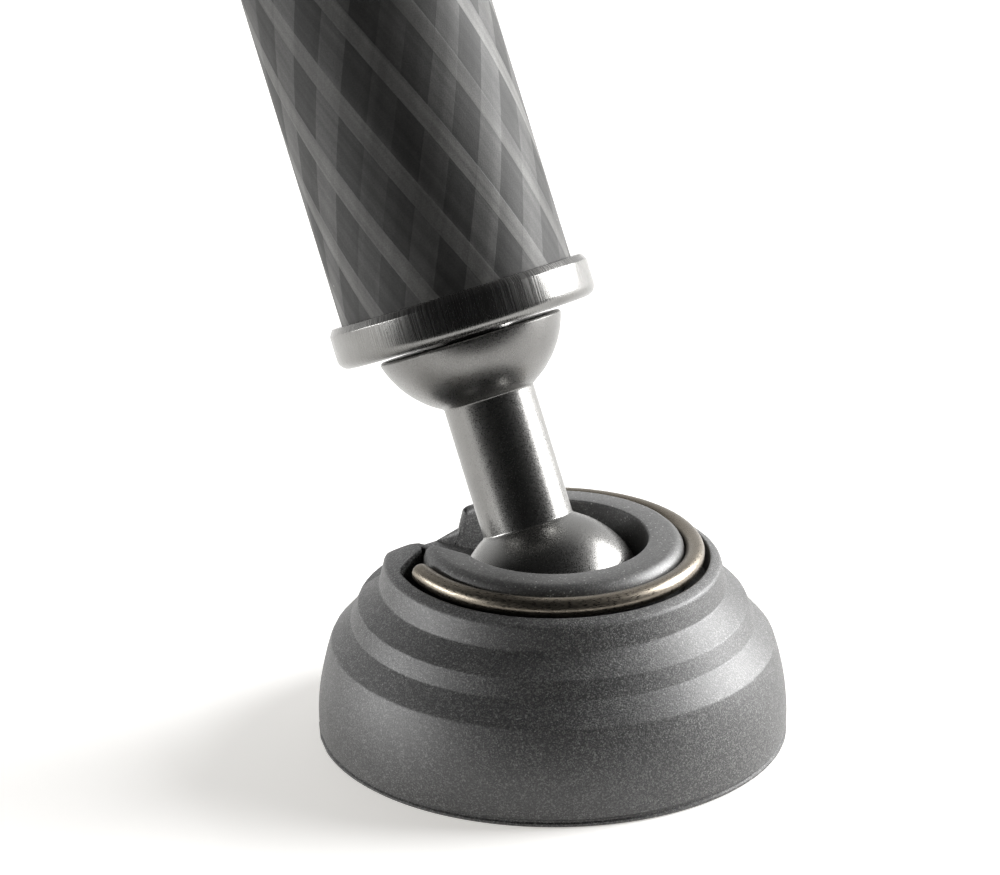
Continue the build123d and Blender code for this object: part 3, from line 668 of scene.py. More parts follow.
# Carbon cloth. The tubes' UV map gives degrees round and millimetres along
BANDS = 12
BAND_DEGREES = 360 / BANDS
BAND_RISE = 2.03  # degrees round for each millimetre along
BAND_EDGE = 0.012
PHASE_LIFT = 100  # whole numbers that keep the phases above zero
COUNT_LIFT = 100 * BANDS
CLOTH_COLOUR = (0.055, 0.0546, 0.053, 1)
STRIP_COLOUR = (0.105, 0.104, 0.101, 1)
LIGHT_COLOUR = (0.165, 0.163, 0.157, 1)
SPECK_COLOUR = (0.32, 0.31, 0.29, 1)
SPECK_SPACING = 5.5
SPECK_EDGE = (0.018, 0.03)
BARE_ROUGHNESS = 0.58
CROSSING_ROUGHNESS = 0.46


def carbon_bands(name, colour, roughness):
    """Matt lacquered carbon tube: two families of diagonal bands, one over the other."""
    look = Finish(name, colour, roughness, specular=0.22)
    place = look.node("UVMap", uv_map="mm").outputs["UV"]
    split = look.node("SeparateXYZ", {"Vector": place})
    angle, reach = split.outputs[0], split.outputs[1]
    turns = look.product(angle, 1 / BAND_DEGREES)
    rise = look.product(reach, BAND_RISE / BAND_DEGREES)
    over, under = look.math("ADD", turns, rise), look.math("SUBTRACT", turns, rise)

    def band(value, start, width, faint):
        """0 outside a band and its strength inside, which differs from band to band."""
        phase = look.math("FRACT", look.math("ADD", value, PHASE_LIFT - start))
        opening = look.spread(phase, 0, BAND_EDGE, 0, 1)
        closing = look.spread(phase, width - BAND_EDGE, width, 1, 0)
        count = look.math("FLOOR", look.math("ADD", value, COUNT_LIFT - start))
        number = look.math("MODULO", count, BANDS)
        chance = look.node("TexWhiteNoise", {"W": number}, noise_dimensions="1D").outputs["Value"]
        return look.product(opening, closing, look.spread(chance, 0, 1, faint, 1))

    def streaks(value, fineness, length):
        """Soft streaks that run along a family of bands."""
        spot = {0: look.product(value, fineness), 1: look.product(reach, 1 / length), 2: 0.0}
        vector = look.node("CombineXYZ", spot).outputs["Vector"]
        return look.node("TexNoise", {"Vector": vector, "Scale": 1.0, "Detail": 3.0}).outputs["Fac"]

    light = band(over, start=0.99, width=0.31, faint=0.45)
    strip = band(under, start=0.98, width=0.49, faint=0.4)
    grain = look.object_noise(0.16, 2.0, 0.6)
    tone = look.product(
        look.tone(streaks(over, fineness=6.0, length=40.0), 0.22, reach=0.15),
        look.tone(streaks(under, fineness=3.0, length=30.0), 0.15, reach=0.15),
        look.tone(grain, 0.18, reach=0.25),
        look.tone(look.map_noise(1.1, 0.16), 0.07),
    )
    cloth = look.mix(strip, CLOTH_COLOUR, STRIP_COLOUR)
    cloth = look.mix(light, cloth, LIGHT_COLOUR)
    speck = look.spread(look.scatter(SPECK_SPACING).outputs["Distance"], *SPECK_EDGE, 1, 0)
    look.set("Base Color", look.mix(speck, look.scaled(cloth, tone), SPECK_COLOUR))
    bands = look.math("ADD", strip, light)
    look.set("Roughness", look.spread(bands, 0, 2, BARE_ROUGHNESS, CROSSING_ROUGHNESS))
    look.bump((light, 0.012), (strip, 0.005), (grain, 0.012))
    return look.material


# Colour, roughness and marks. Grains, depths and the sizes of marks are in millimetres
LOOKS = {
    "foot_rubber": (
        moulded_rubber, (0.048, 0.0476, 0.0462), 0.5,
        dict(grain=0.115, depth=0.03, specular=1.0, sheen=0.12, sand=1.0),
    ),
    "collar_rubber": (
        moulded_rubber, (0.066, 0.0655, 0.0635), 0.42,
        dict(grain=0.13, depth=0.006, specular=0.8, sheen=0.1),
    ),
    "grip_rubber": (moulded_rubber, (0.03, 0.03, 0.03), 0.65, dict(grain=0.3, depth=0.04)),
    "pad_rubber": (moulded_rubber, (0.035, 0.035, 0.035), 0.7, dict(grain=0.25, depth=0.03)),
    "seal_rubber": (moulded_rubber, (0.04, 0.04, 0.04), 0.5, dict(grain=0.2, depth=0.01)),
    "head_alloy": (moulded_rubber, (0.03, 0.03, 0.031), 0.45, dict(grain=0.4, depth=0.02)),
    "black_alloy": (turned_metal, (0.14, 0.14, 0.143), 0.32, dict(across=4.0, along=0.08, depth=0.004)),
    "collar_alloy": (turned_metal, (0.24, 0.237, 0.23), 0.27, dict(across=0.16, along=9.0, depth=0.01)),
    "stem_alloy": (blasted_metal, (0.235, 0.232, 0.225), 0.29, dict(grain=0.13, depth=0.004)),
    "plain_steel": (turned_metal, (0.55, 0.55, 0.54), 0.3, dict(across=3.0, along=0.15, depth=0.006)),
    "stud_steel": (turned_metal, (0.6, 0.59, 0.57), 0.25, dict(across=5.0, along=0.1, depth=0.004)),
    "black_steel": (turned_metal, (0.1, 0.1, 0.105), 0.38, dict(across=1.0, along=0.4, depth=0.006)),
    "wire_steel": (
        turned_metal, (0.215, 0.19, 0.155), 0.34,
        dict(across=0.12, along=0.5, depth=0.003, swing=0.14),
    ),
    "carbon_tube": (carbon_bands, (0.04, 0.04, 0.039), 0.5, {}),
    "bearing_plastic": (plain_plastic, (0.72, 0.7, 0.65), 0.45, {}),
    "cap_plastic": (plain_plastic, (0.04, 0.04, 0.04), 0.5, {}),
}
MATERIALS = {slot: make(slot, *plain, **marks) for slot, (make, *plain, marks) in LOOKS.items()}

for name, node in frame["nodes"].items():
    node.data.materials.clear()
    node.data.materials.append(MATERIALS[node_slots[name]])


def shown(piece, node):
    """Put a piece in a node's place, on its body and with its slot's material."""
    piece.data.materials.clear()
    piece.data.materials.append(MATERIALS[node_slots[node]])
    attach(piece, node_bodies[node])
    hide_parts(node)
    return piece


# Rubber foot
def along_spots(spots, r):
    """Value at a radius, straight between (radius, value) spots given from the outside in."""
    for (ra, va), (rb, vb) in zip(spots, spots[1:]):
        if r >= rb:
            return va + (vb - va) * (ra - min(r, ra)) / (ra - rb)
    return spots[-1][1]


def sole():
    """Points of the sole from its middle outwards, with the rings moulded into it."""
    points = [(0, 0)]
    for ring in reversed(range(TREAD_RINGS)):
        middle = TREAD_RADIUS - ring * TREAD_PITCH
        inner, outer = middle - TREAD_WIDTH / 2, middle + TREAD_WIDTH / 2
        points += [(inner, 0), (inner, TREAD_DEPTH), (outer, TREAD_DEPTH), (outer, 0)]
    return points


def with_bars(row, angle, r, z):
    """Height on the sole, with the short bars between its two outer rings."""
    first = 4 * (TREAD_RINGS - 1)
    step = tau / TREAD_BARS
    off = r * sin(angle - round(angle / step) * step)
    return TREAD_DEPTH if row in (first, first + 1) and abs(off) < TREAD_BAR_HALF else z


def foot_profile():
    """Rows of the foot as (radius, height in the open, height in the block beside the slot)."""
    wall = arc_through((SOLE_R, LIP_TOP), (WALL_MID_R, WALL_MID_Z), (WALL_TOP_R, WALL_TOP_Z), WALL_STEPS)
    outside = rounded(
        sole()
        + [(SOLE_R - inset, z) for inset, z in SOLE_LIP]
        + wall[:-1]
        + [
            (WALL_TOP_R, WALL_TOP_Z, WALL_ROUND), (LOW_STEP_FOOT_R, LOW_STEP_FOOT_Z, STEP_ROUND),
            (LOW_STEP_TOP_R, LOW_STEP_TOP_Z, STEP_ROUND),
            (HIGH_STEP_FOOT_R, HIGH_STEP_FOOT_Z, STEP_ROUND), (RIM_R, RIM_SHOULDER_Z, RIM_ROUND),
            (RIM_INNER_R, RIM_TOP_Z),
        ]
    )[:-1]
    groove = rounded(
        [
            RIM_SLOPE_SPOT,
            (RIM_INNER_R, RIM_TOP_Z, RIM_INNER_ROUND), (RIM_INNER_R, GROOVE_FLOOR_Z, GROOVE_ROUND),
            (BORE_R, GROOVE_FLOOR_Z),
        ]
    )[1:-1]
    groove += [(r, GROOVE_FLOOR_Z) for r in GROOVE_ROWS]
    return [(r, z, z) for r, z in outside] + [(r, z, along_spots(BLOCK_TOP, r)) for r, z in groove]


def block_line(r, z, top, across, end, bottom, soft, hard):
    """The first part of a row: slot floor, slot side, block top and the drop at its end.

    Each point is (angle from the slot's middle, radius, height). soft and hard are the
    rounding of the slot's edge and of the block's end, where there is room for them.
    """
    wide = r if r > SLOT_REACH_R else 2 * SLOT_HALF
    start = asin(SLOT_HALF / wide)
    width = (end - start) * wide
    corner = min(soft, max(0.0, top - bottom) / 2, width / 2)
    close = min(hard, max(0.0, top - z) / 2, width / 2)
    line = [(start * k / SLOT_STEPS, r, bottom) for k in range(SLOT_STEPS + 1)]
    for t in quarter():
        drop = corner * (1 - sin(t))
        side = SLOT_HALF + corner * (1 - cos(t))
        line.append((asin(side / (wide - drop * across.x)), r - drop * across.x, top - drop * across.y))
    first, last = line[-1][0], end - close / wide
    line += [(first + (last - first) * k / SLOT_STEPS, r, top) for k in range(1, SLOT_STEPS)]
    for t in reversed(quarter()):
        line.append((end - close * (1 - cos(t)) / wide, r, top - close * (1 - sin(t))))
    return line + [(end, r, z)]


def half_foot(outer_round, top_round):
    """Rows of one half of the foot, with the rounding of its slot's outer and top edges."""
    profile = foot_profile()
    lines = []
    for (r, z, top), across in zip(profile, sideways([(r, max(z, top)) for r, z, top in profile])):
        if top != z:
            across = Vector((0, 1))
        end = along_spots(BLOCK_END, r)
        soft = outer_round + (top_round - outer_round) * across.y**2
        grown = min(1.0, max(0.0, (r - BLOCK_END_FROM) / BLOCK_END_OVER))
        hard = BLOCK_END_ROUND + BLOCK_END_GROWTH * grown
        line = block_line(r, z, top, across, end, min(z, SLOT_FLOOR_Z), soft, hard)
        lines.append(line + [(end + (pi - end) * k / OPEN_STEPS, r, z) for k in range(1, OPEN_STEPS + 1)])

    # The stops in front of the collar's ends, and the wall that the collar stands in
    first = asin(STOP_HALF / STOP_INNER_R) + STOP_OPENING
    last_step = OPEN_STEPS - 1
    bare = [(first + (pi - first) * k / last_step, BORE_R, CUP_TOP_Z) for k in range(OPEN_STEPS)]
    for r in STOP_ROWS:
        top, end = along_spots(BLOCK_TOP, r), asin(STOP_HALF / r)
        across = Vector((0, 1))
        line = block_line(r, CUP_TOP_Z, top, across, end, SLOT_FLOOR_Z, STOP_ROUND, STOP_END_ROUND)
        lines.append(line + bare)

    # The seat of the cup, down to the middle
    cup_wall_r, cup_floor_z = CUP_R + RUNNING, CUP_BASE_Z - RUNNING
    for r, z in (
        (BORE_R, CUP_TOP_Z), (cup_wall_r, CUP_TOP_Z), (cup_wall_r, CUP_SIDE_Z - RUNNING),
        (CUP_BASE_R, cup_floor_z), (0, cup_floor_z),
    ):
        lines.append([(t, min(r, rr), z) for t, rr, zz in lines[-1]])
    return lines


def rubber_foot():
    grid = []
    near, far = half_foot(*NEAR_ROUND), half_foot(*FAR_ROUND)
    for row, (line, mirrored) in enumerate(zip(near, far)):
        both = [(-t, r, z) for t, r, z in reversed(mirrored[1:-1])] + line
        spots = [(SLOT_AZIMUTH + t, r, z) for t, r, z in both]
        grid.append([polar(t, r, with_bars(row, t, r, z)) for t, r, z in spots])
    wall = max(near, key=lambda line: line[-1][1])
    widest = [-t for t, r, z in reversed(wall[1:-1])] + [t for t, r, z in wall]
    us = [SOLE_R * t for t in widest] + [SOLE_R * pi]
    return skin("foot_boot", grid, us, running_length([line[-1][1:] for line in near]), STANDING)


# Socket collar and wire
def socket_collar():
    seat = arc_through(
        (SEAT_FOOT_R, COLLAR_FOOT_Z), (BALL_R + SEAT, BALL_HEIGHT), (SEAT_TOP_R, COLLAR_NARROW_Z),
        SEAT_STEPS,
    )
    rest = rounded(
        [(SEAT_TOP_R, COLLAR_NARROW_Z), (COLLAR_OPENING_R, COLLAR_TOP_Z, COLLAR_LIP_ROUND)]
        + [(COLLAR_R - inset, COLLAR_TOP_Z - drop) for inset, drop in COLLAR_EDGE]
        + [(COLLAR_R, COLLAR_FOOT_Z), (SEAT_FOOT_R, COLLAR_FOOT_Z)]
    )
    path = seat + rest[1:-1]
    arc = quarter(COLLAR_ARC_STEPS)
    rows = []
    for (r, z), across in zip(path, sideways(path, closed=True)):
        line = []
        for t in arc:
            drop = COLLAR_END_ROUND * (1 - sin(t))
            rr, zz = r + drop * across.x, z + drop * across.y
            back = SLOT_HALF + along_spots(COLLAR_END, rr) + COLLAR_END_ROUND * (1 - cos(t))
            line.append((asin(min(back / rr, 1)), rr, zz))
        first = line[-1][0]
        for k in range(1, COLLAR_STEPS):
            line.append((first + (tau - 2 * first) * k / COLLAR_STEPS, r, z))
        line += [(tau - t, rr, zz) for t, rr, zz in reversed(line[: len(arc)])]
        rows.append([polar(SLOT_AZIMUTH + t, rr, zz) for t, rr, zz in line])
    last = len(rows[0]) - 1
    us = [COLLAR_R * tau * k / last for k in range(last + 1)]
    vs = running_length(path + [path[0]])
    ends = range(len(path))
    caps = [[(i, 0) for i in ends], [(i, last) for i in reversed(ends)]]
    return skin("ball_socket", rows, us, vs, STANDING, loop=False, closed=True, caps=caps)


def wire_ring():
    centre_r = BORE_R + WIRE_R
    length = centre_r * (tau - 2 * WIRE_END_ANGLE)
    start = SLOT_AZIMUTH + WIRE_END_ANGLE
    cap = [(-WIRE_R * cos(t), WIRE_R * sin(t)) for t in quarter(WIRE_CAP_STEPS)]
    along = cap + [(length * k / WIRE_STEPS, WIRE_R) for k in range(1, WIRE_STEPS)]
    along += [(length - back, r) for back, r in reversed(cap)]
    rows, vs = [], []
    for distance, r in along:
        inside = min(max(distance, 0), length)
        t = start + inside / centre_r
        outward, forward = Vector(polar(t, 1, 0)), Vector((-sin(t), cos(t), 0))
        centre = Vector(polar(t, centre_r, WIRE_HEIGHT)) + forward * (distance - inside)
        around = [tau * k / WIRE_AROUND for k in range(WIRE_AROUND)]
        rows.append([centre + outward * (r * cos(a)) + Vector((0, 0, r * sin(a))) for a in around])
        vs.append(distance)
    us = [WIRE_R * tau * k / WIRE_AROUND for k in range(WIRE_AROUND + 1)]
    return skin("spring_wire", rows, us, vs, STANDING)


# Stem and foot collar
def stem():
    dome_centre = DOME_TOP_REACH + DOME_CENTRE_ABOVE_TOP
    neck_foot = sqrt(BALL_R**2 - NECK_R**2)
    dome_foot = dome_centre - sqrt(DOME_R**2 - NECK_R**2)
    dome_top_r = sqrt(DOME_R**2 - DOME_CENTRE_ABOVE_TOP**2)
    ball_sweep = pi - asin(NECK_R / BALL_R)
    ball = [ball_sweep * k / BALL_STEPS for k in range(BALL_STEPS)]
    low, high = asin(NECK_R / DOME_R), asin(dome_top_r / DOME_R)
    dome = [low + (high - low) * k / DOME_STEPS for k in range(1, DOME_STEPS)]
    hub_top, shank_top = NUT_SEAT_REACH - RUNNING, NUT_SEAT_REACH + SHANK_LENGTH
    corners = [(BALL_R * sin(t), -BALL_R * cos(t)) for t in ball]
    corners += [(NECK_R, neck_foot, NECK_ROUND), (NECK_R, dome_foot, NECK_ROUND)]
    corners += [(DOME_R * sin(t), dome_centre - DOME_R * cos(t)) for t in dome]
    corners += [
        (dome_top_r, DOME_TOP_REACH, DOME_EDGE_ROUND), (HUB_R, DOME_TOP_REACH), (HUB_R, hub_top),
        (SHANK_R, hub_top), (SHANK_R, shank_top - SHANK_CHAMFER), (SHANK_R - SHANK_CHAMFER, shank_top),
        (0, shank_top),
    ]
    return turned("swivel_stem", rounded(corners))


def foot_collar():
    bore = HUB_R + RUNNING
    spigot = LOWEST_TUBE_R - TUBE_WALLS[-1] - GLUE
    spigot_top = TUBE_FOOT_REACH + SPIGOT_LENGTH
    path = [
        (bore, COLLAR_REACH), (FOOT_COLLAR_R, COLLAR_REACH, FOOT_COLLAR_ROUND),
        (FOOT_COLLAR_R, TUBE_FOOT_REACH - FOOT_COLLAR_CHAMFER_UP, FOOT_COLLAR_EDGE),
        (FOOT_COLLAR_R - FOOT_COLLAR_CHAMFER_IN, TUBE_FOOT_REACH, FOOT_COLLAR_EDGE),
        (spigot, TUBE_FOOT_REACH), (spigot, spigot_top - SPIGOT_CHAMFER),
        (spigot - SPIGOT_CHAMFER, spigot_top), (NUT_ROOM_R, spigot_top), (NUT_ROOM_R, NUT_SEAT_REACH),
        (bore, NUT_SEAT_REACH),
    ]
    return hollow("tube_collar", path)


# Tubes and locks
def tube(section):
    outer = tube_r(section)
    inner = outer - TUBE_WALLS[section]
    low, high = tube_end(section) + GLUE, tube_top(section)
    heights = [low + (high - low) * k / TUBE_STEPS for k in range(TUBE_STEPS + 1)]
    path = [(outer, z) for z in heights] + [(inner, high), (inner, low)]
    us = [360 * j / FINE for j in range(FINE + 1)]
    vs = heights + [high + TUBE_END_MAP * row for row in (1, 2, 3)]
    return skin(f"carbon_tube_{section + 1}", turned_rows(path, FINE), us, vs, LEANING, closed=True)


def thread_r(section):
    """Radius of the thread between a tube's bush and its twist ring."""
    return tube_r(section) + GLUE + BUSH_WALL + RUNNING


def ring_r(section):
    return thread_r(section) + RING_WALL


def lock_bush(section):
    bore, end = tube_r(section) + GLUE, tube_end(section)
    outer, nose = bore + BUSH_WALL, tube_r(section + 1) + BUSH_NOSE_GAP
    rim, rim_low = outer + BUSH_RIM, end + RING_UP + RING_TOP_ROOM
    path = [
        (nose, end - BUSH_NOSE), (outer - BUSH_CHAMFER, end - BUSH_NOSE),
        (outer, end - BUSH_NOSE + BUSH_CHAMFER), (outer, rim_low), (rim, rim_low, BUSH_RIM_ROUND),
        (rim, end + BUSH_GRIP - BUSH_RIM, BUSH_RIM_ROUND),
        (bore + BUSH_CHAMFER, end + BUSH_GRIP, BUSH_TOP_ROUND), (bore, end + BUSH_GRIP), (bore, end),
        (nose, end),
    ]
    return hollow(f"threaded_sleeve_{section + 1}", path, segments=COARSE)


def lock_ring(section):
    end, slide = tube_end(section), tube_r(section + 1)
    high, low = end + RING_UP, end - RING_DOWN
    thread, outer = thread_r(section), ring_r(section)
    flange = outer + RING_FLANGE_RISE
    lip = slide + RING_LIP_GAP
    cone = slide + 2 * RUNNING
    cone_top = end - BUSH_NOSE - COLLET_PLAY
    cone_low = cone_top - COLLET_LENGTH - COLLET_PLAY
    seal_low = low + SEAL_INSET
    path = [
        (thread + RING_MOUTH, high), (thread, high - RING_MOUTH), (thread, cone_top),
        (cone + COLLET_THICK, cone_top), (cone + COLLET_THIN, cone_low), (lip, cone_low),
        (lip, seal_low + SEAL_WIDTH), (slide + SEAL_DEPTH, seal_low + SEAL_WIDTH),
        (slide + SEAL_DEPTH, seal_low), (lip, seal_low), (lip, low),
        (outer - RING_CHAMFER, low, RING_EDGE), (flange, low + RING_CHAMFER_LENGTH, RING_SHOULDER),
        (flange, low + RING_FLANGE, RING_FLANGE_EDGE), (outer, low + RING_FLANGE),
        (outer, high - RING_FLANGE), (flange, high - RING_FLANGE, RING_FLANGE_EDGE),
        (flange, high - RING_CHAMFER, RING_EDGE), (flange - RING_CHAMFER, high, RING_EDGE),
    ]
    return hollow(f"twist_ring_{section + 1}", path)


def ring_seal(section):
    slide = tube_r(section + 1)
    inner, outer = slide + RUNNING, slide + SEAL_DEPTH - GLUE
    low = tube_end(section) - RING_DOWN + SEAL_INSET + GLUE
    high = low + SEAL_WIDTH - 2 * GLUE
    path = [(inner, low + SEAL_LIP_RISE), (inner + SEAL_LIP, low), (outer, low), (outer, high), (inner, high)]
    return turned(f"dust_seal_{section + 1}", path, closed=True, segments=COARSE)


def ring_grip(section):
    """The fluted band: each flute is a shallow round-ended scoop."""
    inner = ring_r(section) + GLUE
    outer = ring_r(section) + GRIP_RISE
    low = tube_end(section) - (RING_DOWN - RING_FLANGE) + GLUE
    high = tube_end(section) + (RING_UP - RING_FLANGE) - GLUE
    centre = outer + FLUTE_R - FLUTE_DEPTH
    chord_off = (centre**2 + FLUTE_R**2 - outer**2) / (2 * centre)
    half = asin(sqrt(FLUTE_R**2 - chord_off**2) / outer)
    columns = []
    for flute in range(FLUTES):
        middle = tau * flute / FLUTES
        columns += [(middle + half * share, abs(share) * half) for share in FLUTE_SHARES]
        columns.append((middle + pi / FLUTES, half))
    first, last = low + FLUTE_END, high - FLUTE_END
    run_in = [FLUTE_END_ROUND * (1 - cos(t)) for t in quarter()]
    heights = [first + rise for rise in run_in]
    heights += [first + (last - first) * k / ARC_STEPS for k in range(1, ARC_STEPS)]
    heights += [last - rise for rise in reversed(run_in)]
    lower_corner = rounded([(inner, low), (outer, low, GRIP_ROUND), (outer, first)])[:-1]
    upper_corner = rounded([(outer, last), (outer, high, GRIP_ROUND), (inner, high)])[1:]
    path = [(r, z, 0) for r, z in lower_corner]
    path += [(outer, z, min(z - first, last - z)) for z in heights]
    path += [(r, z, 0) for r, z in upper_corner]
    rows = []
    for r, z, inside in path:
        end = min(1.0, inside / FLUTE_END_ROUND)
        row = []
        for angle, away in columns:
            cut = 0.0
            if end > 0 and away < half:
                scoop = centre * cos(away) - sqrt(FLUTE_R**2 - (centre * sin(away)) ** 2)
                cut = (outer - scoop) * sqrt(1 - (1 - end) ** 2)
            row.append(polar(angle, r - cut, z))
        rows.append(row)
    us = [outer * angle for angle, away in columns] + [outer * tau]
    vs = running_length([(r, z) for r, z, inside in path] + [(inner, low)])
    return skin(f"fluted_band_{section + 1}", rows, us, vs, LEANING, closed=True, sharp=40.0)


# Hand grip
def grip_sleeve():
    inner, outer = SLEEVE_R, SLEEVE_R + GRIP_WALL
    lip, soft, edge = outer + GRIP_LIP_RISE, GRIP_LIP_ROUND, GRIP_GROOVE_ROUND
    floor_r = outer - GRIP_GROOVE_DEPTH
    half_width, half_floor = GRIP_GROOVE_WIDTH / 2, GRIP_GROOVE_FLOOR / 2
    middle = (GRIP_LOW + GRIP_TOP) / 2
    corners = [
        (inner, GRIP_LOW), (lip, GRIP_LOW, soft), (lip, GRIP_LOW + GRIP_LIP_LENGTH / 2, soft),
        (outer, GRIP_LOW + GRIP_LIP_LENGTH, soft),
    ]
    for groove in range(GRIP_GROOVES):
        centre = middle + (groove - (GRIP_GROOVES - 1) / 2) * GRIP_GROOVE_PITCH
        corners += [
            (outer, centre - half_width, edge), (floor_r, centre - half_floor, edge),
            (floor_r, centre + half_floor, edge), (outer, centre + half_width, edge),
        ]
    corners += [
        (outer, GRIP_TOP - GRIP_LIP_LENGTH, soft),
        (lip, GRIP_TOP - GRIP_LIP_LENGTH / 2, soft), (lip, GRIP_TOP, soft), (inner, GRIP_TOP),
    ]
    return hollow("hand_grip", corners, steps=5)


def grip_trim():
    high = GRIP_LOW - GLUE
    low, outer = high - TRIM_LENGTH, SLEEVE_R + TRIM_WALL
    path = [(SLEEVE_R, low), (outer, low, TRIM_ROUND), (outer, high, TRIM_ROUND), (SLEEVE_R, high)]
    return hollow("trim_ring", path)


# Head
def head_casting():
    skirt, skirt_low = SLEEVE_R + HEAD_SKIRT_WALL, TOP - HEAD_SKIRT_LENGTH
    path = [
        (STUD_BORE_R, HEAD_HIGH), (STUD_BORE_R, TOP + GLUE), (SLEEVE_R, TOP + GLUE),
        (SLEEVE_R, skirt_low), (skirt, skirt_low, HEAD_SKIRT_ROUND),
        (skirt, skirt_low + HEAD_WAIST_LENGTH, HEAD_ROUND),
        (HEAD_TOP_R, HEAD_HIGH - HEAD_TOP_LAND, HEAD_ROUND), (HEAD_TOP_R, HEAD_HIGH, HEAD_TOP_ROUND),
    ]
    return hollow("head_socket", path)


def drilled(piece, cutters):
    """Cut plain holes in a finished piece."""
    for cutter in cutters:
        modifier = piece.modifiers.new("hole", "BOOLEAN")
        modifier.operation = "DIFFERENCE"
        modifier.solver = "EXACT"
        modifier.object = cutter
    bpy.context.view_layer.update()
    shape = piece.evaluated_get(bpy.context.evaluated_depsgraph_get())
    cut = bpy.data.meshes.new_from_object(shape)
    piece.modifiers.clear()
    piece.data = cut
    cut.shade_smooth()
    cut.set_sharp_from_angle(angle=radians(SHARP))
    for cutter in cutters:
        bpy.data.objects.remove(cutter)
    return piece


def top_plate():
    flange_seat = PAD_SEAT - STUD_FLANGE_THICK
    path = [
        (STUD_BORE_R, PLATE_LOW), (PLATE_R, PLATE_LOW, PLATE_ROUND), (PLATE_R, PLATE_HIGH, PLATE_ROUND),
        (PAD_R + GLUE, PLATE_HIGH), (PAD_R + GLUE, PAD_SEAT), (STUD_FLANGE_R + GLUE, PAD_SEAT),
        (STUD_FLANGE_R + GLUE, flange_seat), (STUD_BORE_R, flange_seat),
    ]
    plate = hollow("camera_plate", path)
    low, high, hole_r = PLATE_LOW - OVERRUN, PLATE_LOW + SET_SCREW_LENGTH + GLUE, SET_SCREW_R + GLUE
    holes = []
    for i in range(SET_SCREWS):
        angle = radians(SET_SCREW_FIRST + 360 * i / SET_SCREWS)
        move = Matrix.Translation(polar(angle, SET_SCREW_CIRCLE_R, 0))
        hole_path = [(0, low), (hole_r, low), (hole_r, high), (0, high)]
        holes.append(turned(f"hole_{i}", hole_path, LEANING @ move, segments=32))
    return drilled(plate, holes)


def top_pad():
    low = PAD_SEAT + GLUE
    high = low + PAD_THICK
    valley = high - PAD_RIB_DEPTH
    corners = [(PAD_INNER_R, low), (PAD_R, low), (PAD_R, high, PAD_ROUND)]
    for rib in reversed(range(PAD_RIBS)):
        inner = PAD_INNER_R + PAD_RIB_PITCH * (rib + 1)
        outer = min(inner + PAD_RIB_WIDTH, PAD_R - PAD_RIM)
        corners += [
            (outer, high, PAD_RIB_ROUND), (outer, valley, PAD_RIB_ROUND),
            (inner, valley, PAD_RIB_ROUND), (inner, high, PAD_RIB_ROUND),
        ]
    corners.append((PAD_INNER_R, high, PAD_ROUND))
    return hollow("rubber_pad", corners, steps=3)


def camera_stud():
    """The stud, with its thread cut as a helix round the part that stands up."""
    flange_low = PAD_SEAT - STUD_FLANGE_THICK
    low = flange_low - STUD_SHORT_LENGTH
    top = PAD_SEAT + PAD_THICK + STUD_LENGTH
    plain = [
        (0, low), (STUD_SHORT_R - STUD_CHAMFER, low), (STUD_SHORT_R, low + STUD_CHAMFER),
        (STUD_SHORT_R, flange_low), (STUD_FLANGE_R, flange_low), (STUD_FLANGE_R, PAD_SEAT),
        (STUD_R, PAD_SEAT),
    ]
    heights, z = [PAD_SEAT + THREAD_FOOT], PAD_SEAT + THREAD_START
    while z < top - THREAD_LAST_GAP:
        heights.append(z)
        z += THREAD_PITCH / THREAD_STEPS
    heights.append(top)
    rows = turned_rows(plain, STUD_SEGMENTS)
    for z in heights:
        fade = min(1.0, max(0.0, (z - PAD_SEAT - THREAD_FADE_FROM) / THREAD_FADE_OVER))
        row = []
        for j in range(STUD_SEGMENTS):
            share = (z / THREAD_PITCH - j / STUD_SEGMENTS) % 1.0
            flank = min(share, 1 - share) * 2
            cut = (THREAD_CREST - flank) / (THREAD_CREST - THREAD_VALLEY)
            groove = THREAD_DEPTH * min(1.0, max(0.0, cut)) * fade
            r = min(STUD_R - groove, STUD_R - STUD_CHAMFER + (top - z))
            row.append(polar(tau * j / STUD_SEGMENTS, r, z))
        rows.append(row)
    rows.append([(0, 0, top)] * STUD_SEGMENTS)
    path = [(hypot(row[0][0], row[0][1]), row[0][2]) for row in rows]
    us = [STUD_R * tau * j / STUD_SEGMENTS for j in range(STUD_SEGMENTS + 1)]
    return skin("threaded_stud", rows, us, running_length(path), LEANING, sharp=50.0)


for build in (rubber_foot, socket_collar, wire_ring, stem, foot_collar):
    shown(build(), build.__name__)
for section in range(SECTIONS):
    shown(tube(section), f"tube_{section + 1}")
for section in range(SECTIONS - 1):
    for build in (lock_bush, lock_ring, ring_seal, ring_grip):
        shown(build(section), f"{build.__name__}_{section + 1}")
for build in (grip_sleeve, grip_trim, head_casting, top_plate, top_pad, camera_stud):
    shown(build(), build.__name__)


# Floor, light and camera, in metres
FLOOR_FRONT = -0.08
FLOOR_REACH = 6.0
FLOOR_LIFT = 0.5
FRONT_LIGHT = 0.02
BACK_LIGHT = 1.0
BACK_LIGHT_FROM = 0.95  # of the way from straight across to straight back
LAMP_DISTANCE = 1.3
FOCAL_PIXELS = 4422
PICTURE_WIDTH = 1000
SENSOR_WIDTH = 36.0
CAMERA_PLACE = (-5.52, -430.0, 201.8)  # millimetres


